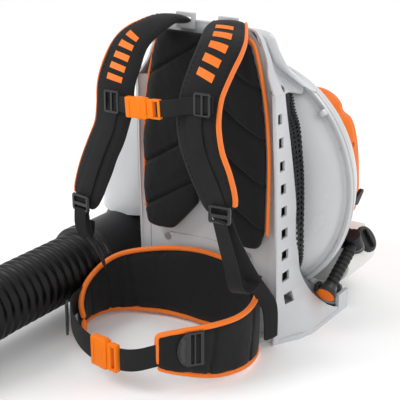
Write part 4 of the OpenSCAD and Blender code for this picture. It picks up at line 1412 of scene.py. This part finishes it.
        disc = surface("intake_floor", 96, 4, floor)
        weld(disc, 1e-6, fill=False)
        modify(disc, "SOLIDIFY", thickness=3 * MM, offset=0)
        mount(join("intake_basket", [band, disc]), "root", BLACK_NYLON, ["intake_grille"])


# ------------------------------------------------------------------ air path

@dataclass
class AirPath:
    """Collar and pleated hose."""

    x: float = -215.0
    z: float = 80.0
    outer: float = 52.0
    inner: float = 45.5
    pitch: float = 17.5
    droop: float = 3.0
    pitch_y: float = -150.0
    yaw_y: float = -255.0
    split_y: float = -202.5
    end_y: float = -340.0

    def ring_profile(self, first: float, last: float) -> list[tuple[float, float]]:
        """Rows of (radius, distance) for a stretch of pleats between two distances along the hose."""
        rows = []
        count = max(round((last - first) / self.pitch), 1)
        step = (last - first) / count
        for k in range(count):
            for share, depth in ((0.0, 1.0), (0.14, 0.92), (0.26, 0.25), (0.38, 0.0), (0.62, 0.0), (0.74, 0.25),
                                 (0.86, 0.92)):
                rows.append((self.outer - (self.outer - self.inner - 1.5) * depth, first + (k + share) * step))
        rows.append((self.inner + 1.5, last))
        return rows

    def hose(self, name: str, first_y: float, last_y: float) -> bpy.types.Object:
        """One stretch of pleated hose along -Y, level up to the side bend and drooping beyond it."""
        hose = lathe(name, self.ring_profile(-first_y, -last_y), 72)
        put(hose, axes(mm(self.x, 0, self.z), Vector((0, -1, 0))))
        tangent = math.tan(math.radians(self.droop))
        for corner in hose.data.vertices:
            beyond = max(self.yaw_y * MM - corner.co.y, 0)
            corner.co.z -= beyond * tangent
        modify(hose, "SOLIDIFY", thickness=1.6 * MM, offset=-1)
        shade(hose, 70)
        return hose

    def build(self) -> None:
        """Make the hose and its collar."""
        first = self.hose("pleated_hose_rear", -61, self.split_y)
        dress(first, HOSE_RUBBER)
        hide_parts("hose_rear")
        mm(self.x, self.pitch_y + 46, self.z)
        mm(self.x, self.pitch_y - 46, self.z)
        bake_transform(first)
        LOG.info("%s bends at the first hose bend", first.name)
        second = self.hose("pleated_hose_front", self.split_y, self.end_y)
        dress(second, HOSE_RUBBER)
        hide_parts("hose_mid", "hose_front")
        mm(self.x, self.yaw_y + 46, self.z)
        mm(self.x, self.yaw_y - 46, self.z)
        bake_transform(second)
        LOG.info("%s bends at the second hose bend", second.name)
        collar = lathe("hose_collar", [
            (50.5, 42), (56.4, 42), (59, 44), (59.6, 47), (59, 50), (57.4, 52), (57.4, 57), (59, 59), (59.6, 62),
            (58.6, 64.5), (54, 66.5), (51.5, 67), (50.5, 62), (50.5, 42)], 96)
        put(collar, axes(mm(self.x, 0, self.z), Vector((0, -1, 0))))
        shade(collar, 35)
        lug = box("lug", (self.x - 8, -63, self.z + 55), (self.x + 8, -49, self.z + 64), 1.5)
        mount(join("hose_collar_ring", [collar, lug]), "root", GLOSSY_BLACK, ["clamp_rear"])


# ------------------------------------------------------------------ engine, tank and starter

@dataclass
class Engine:
    """The orange hood, the tank with its cap, and the folding starter arm."""

    hood_front: tuple[tuple[float, float], ...] = (
        (-117, 152), (-117, 304), (-97, 336), (-60, 355), (20, 359), (66, 358), (92, 350), (106, 338), (112, 324),
        (125, 315), (133, 300), (139, 276), (144, 245), (147, 205), (147.5, 178), (144, 153),
        (110, 151), (12, 151), (-90, 151), (-117, 152))
    hood_wall: float = 2.5
    arm_at: Point = (163, 205, 112)
    arm_tilt: float = 121.5
    arm_len: float = 118.0
    cap_at: Point = (151, 258, 91)
    cap_tilt: float = 56.0

    def along_arm(self) -> Matrix:
        """A placing whose local Z runs from the starter's hinge to the grip."""
        return shifted(*self.arm_at) @ turned(self.arm_tilt, "X")

    def build(self) -> None:
        """Make every visible piece of the engine side."""
        self.hood()
        self.tank()
        self.starter()

    def hood(self) -> None:
        """The two-tier orange hood with its louvres."""
        loop = self.hood_front

        def place(u: float, v: float) -> Vector:
            """One corner of the hood's skin, drawn in and down towards the rear on the left side."""
            x, z = along(loop, u)
            y, k = along([(192, 0.965), (206, 0.99), (232, 1.0), (262, 0.995), (286, 0.97), (303, 0.93), (314, 0.86),
                          (318.5, 0.72), (320, 0.4), (320, 0.02)], v)
            inset = lerp_table(((236, 0), (244, 5), (262, 8), (268, 15), (292, 22), (320, 32)), y)
            drop = lerp_table(((236, 0), (268, 8), (292, 16), (320, 24)), y) * smooth((z - 262) / 70)
            return mm(12 + (x - 12) * k - inset * smooth((x - 30) / 80), y, 250 + (z - 250) * k - drop)

        shell = skin("hood", 96, 54, place, self.hood_wall, offset=-1, angle=32)
        slots = [box("vent", (-90 + k * 20, 316, 292), (-80 + k * 20, 322, 312), 1.5) for k in range(5)]
        slots.append(box("vent", (131, 228, 262), (140.5, 234, 275), 0.8))
        mount(shell, "root", DEEP_ORANGE, ["engine_hood"])
        mount(join("hood_vents", slots), "root", VENT_RED)

    def tank(self) -> None:
        """The milky tank and its ribbed black cap."""
        outline = ((-112, 30), (20, 30), (130, 31), (143, 36), (153, 45), (159, 56), (160, 70), (158, 80), (148, 94),
                   (136, 106), (120, 108), (-90, 108), (-108, 104), (-112, 92))
        loop = [*outline, outline[0]]

        def place(u: float, v: float) -> Vector:
            """One corner of the tank's skin, rounded at both ends."""
            x, z = along(loop, u)
            y, k = along([(194, 0.3), (194, 0.93), (197, 0.975), (203, 1.0), (247, 1.004), (291, 1.0), (297, 0.975),
                          (300, 0.93), (300, 0.3)], v)
            return mm(24 + (x - 24) * k, y, 69 + (z - 69) * k)

        tank = surface("tank", 90, 48, place)
        weld(tank, 1e-5)
        shade(tank, 40)
        feet = [box("foot", (x - 13, 215, 8), (x + 13, 279, 32), 2) for x in (-66, 66)]
        neck = lathe("neck", [(20, -10), (20, 4.5), (19, 6), (16.5, 6), (16.5, -8)], 64)
        tilt = shifted(*self.cap_at) @ turned(self.cap_tilt, "Y")
        mount(join("fuel_tank_shell", [tank, put(neck, tilt), *feet]), "root", TANK, ["fuel_tank"])
        cap = lathe("cap", [(14, -3), (14, 6.4), (22, 6.5), (22.8, 7.4), (23, 9), (23, 13), (22, 15.2), (19, 16),
                            (12, 16.2), (0.4, 16.2)], 96,
                    lambda r, h, a: r + (0.7 * math.cos(a * 24) if 21 < r and 7 < h < 15 else 0))
        wing = box("wing", (-17, -3, 15), (17, 3, 22), 1.6, 3)
        weld(cap)
        shade(cap, 35)
        mount(put(join("ribbed_fuel_cap", [cap, wing]), tilt), "cap", BLACK_NYLON, ["fuel_cap"])

    def starter(self) -> None:
        """The ribbed starter arm on its hinge, with the orange-faced grip."""
        grip_z = self.arm_len
        ribs = [(8, 8), (8.6, 15)]
        for k in range(8):
            base = 20 + k * 9.2
            ribs += [(8.6, base), (10.3, base + 1.2), (10.6, base + 4), (10.3, base + 6.6), (8.6, base + 7.8)]
        ribs += [(9, grip_z - 23), (6, grip_z - 22)]
        sleeve = lathe("sleeve", ribs, 48)
        weld(sleeve)
        shade(sleeve, 50)
        eye = lathe("eye", [(4.2, -11.8), (12, -11.8), (13, -10.8), (13, 10.8), (12, 11.8), (4.2, 11.8),
                             (4.2, -11.8)], 48)
        shade(put(eye, turned(90, "X")), 35)
        mount(put(join("starter_arm", [sleeve, eye]), self.along_arm()), "arm", BLACK_NYLON,
              ["start_arm"])
        knob = lathe("knob", [(6, grip_z - 21.7), (12, grip_z - 21), (13, grip_z - 16), (14.5, grip_z - 11),
                              (17.4, grip_z - 9.4), (18, grip_z - 7.5), (18, grip_z - 1.6), (17.2, grip_z - 0.6),
                              (16.2, grip_z - 0.4), (0.4, grip_z - 0.4)], 72)
        weld(knob)
        shade(knob, 35)
        mount(put(knob, self.along_arm()), "grip", GLOSSY_BLACK, ["start_grip"])
        disc = lathe("disc", [(15.7, grip_z - 1.5), (15.8, grip_z - 0.3), (15.2, grip_z + 0.2), (10, grip_z + 0.5),
                              (0.4, grip_z + 0.6)], 72)
        weld(disc)
        shade(disc, 40)
        disc.name = "grip_disc"
        mount(put(disc, self.along_arm()), "grip", DEEP_ORANGE)
        cheeks = []
        for side in (-1, 1):
            cheek = lathe("cheek", [(4, 12.4), (12.6, 12.4), (13.4, 13.2), (13.4, 16.2), (12.6, 17.1), (4, 17.3),
                                    (4, 12.4)], 48)
            put(cheek, turned(90 * side, "X"))
            cheeks.append(cheek)
            cheeks.append(box("strut", (-26, side * 14.8 - 2.4, -12), (-6, side * 14.8 + 2.4, 12), 1.5))
        pin = lathe("pin", [(0.5, -17), (3.9, -17), (3.9, 17), (0.5, 17)], 24)
        cheeks.append(put(pin, turned(90, "X")))
        hub = join("hub", cheeks)
        put(hub, self.along_arm())
        drum = lathe("drum", [(2, 128), (18, 128), (20, 130), (20, 145), (18, 147), (2, 147)], 64)
        put(drum, shifted(0, 205, 116) @ turned(90, "Y"))
        arm_root = box("root", (108, 188, 110), (134, 205, 130), 2)
        mount(join("starter_hub", [hub, drum, arm_root]), "root", BLACK_NYLON, ["start_hub"])
        rings = []
        for h in (12.6, 17.7):
            ring = lathe("ring", [(12.2, h - 0.5), (13.9, h - 0.5), (13.9, h + 0.5), (12.2, h + 0.5),
                                  (12.2, h - 0.5)], 48)
            rings.append(put(ring, turned(90, "X")))
        mount(put(join("hub_rings", rings), self.along_arm()), "root", STEEL)
        clip = [box("clip", (146, 96, 58), (154, 112, 70), 1.5), box("clip", (142, 104, 50), (150, 118, 62), 1.5)]
        mount(join("grip_cradle", clip), "root", BLACK_NYLON)


# ------------------------------------------------------------------ putting it together

SLOT_FINISHES: dict[str, Finish] = {
    "shell_grey": SHELL_GREY, "housing_white": HOUSING, "black_plastic": BLACK_NYLON,
    "dark_grey_plastic": TROUGH_GREY, "orange_plastic": ORANGE_ABS, "hose_rubber": HOSE_RUBBER,
    "mount_rubber": HOSE_RUBBER, "tank_plastic": TANK, "cast_aluminium": CAST_METAL, "steel": STEEL,
    "black_fabric": CLOTH, "webbing": WEB, "filter_felt": FELT, "rope": WEB, "ceramic": TANK}


def dress_packed(parts: dict[str, object]) -> None:
    """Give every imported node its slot's finish, leaving its mesh where it is."""
    slots = {row["node"]: row["material_slot"] for row in parts["record"]["subparts"]}
    for name, node in parts["nodes"].items():
        for slot in node.material_slots:
            slot.material = SLOT_FINISHES[slots[name]].material()


def strap_pair() -> list[ShoulderStrap]:
    """The two shoulder straps as they lie when the machine stands on the floor."""
    left = [[-38, -2, 497, 20, 4.5, 0], [-48, -34, 503, 22, 6, 10], [-58, -70, 493, 25, 6.5, 16],
            [-67, -98, 476, 28.4, 7, 12], [-66.7, -122, 450, 31.2, 7, 8], [-66, -138, 422, 32, 7, 4],
            [-63.6, -146, 392, 32.4, 7, 0], [-68.3, -151, 358, 30.4, 7, -2], [-82.4, -155, 323, 30.5, 7, -4],
            [-96.7, -158, 286, 30.7, 6.5, -4], [-109.4, -161, 250, 27.2, 5.5, -4], [-116, -163, 236, 20, 4.5, -4]]
    right = [[38, -2, 497, 22, 4.5, 0], [50, -22, 502, 27, 6, 16], [61, -46, 498, 31, 6.5, 26],
             [80, -86, 485, 33.4, 7, 22], [85, -120, 459, 32.4, 7, 16], [83, -139, 429, 32, 7, 8],
             [82, -147, 396, 33.5, 7, 4], [87, -151, 368, 33.5, 7, 2], [98, -154, 339, 31.5, 7, 2],
             [113, -157, 313, 30.3, 6.5, 2], [127, -160, 287, 26.5, 6, 2], [133, -162, 272, 20, 5, 2]]
    return [ShoulderStrap("shoulder_strap_right", "strap_left", -1, left, 0.24, 0.46, -1, (1.6, 3.4)),
            ShoulderStrap("shoulder_strap_left", "strap_right", 1, right, 0.17, 0.42, 1, (2.6, 5.5))]


def main() -> None:
    """Build the whole picture."""
    logging.basicConfig(level=logging.INFO, format="%(message)s")
    Studio().build()
    dress_packed(frame)
    BackPad().build()
    for strap in strap_pair():
        strap.build()
    HipBelt().build()
    Hardware().build()
    FrameShell().build()
    FanUnit().build()
    AirPath().build()
    Engine().build()


if __name__ == "__main__":
    main()
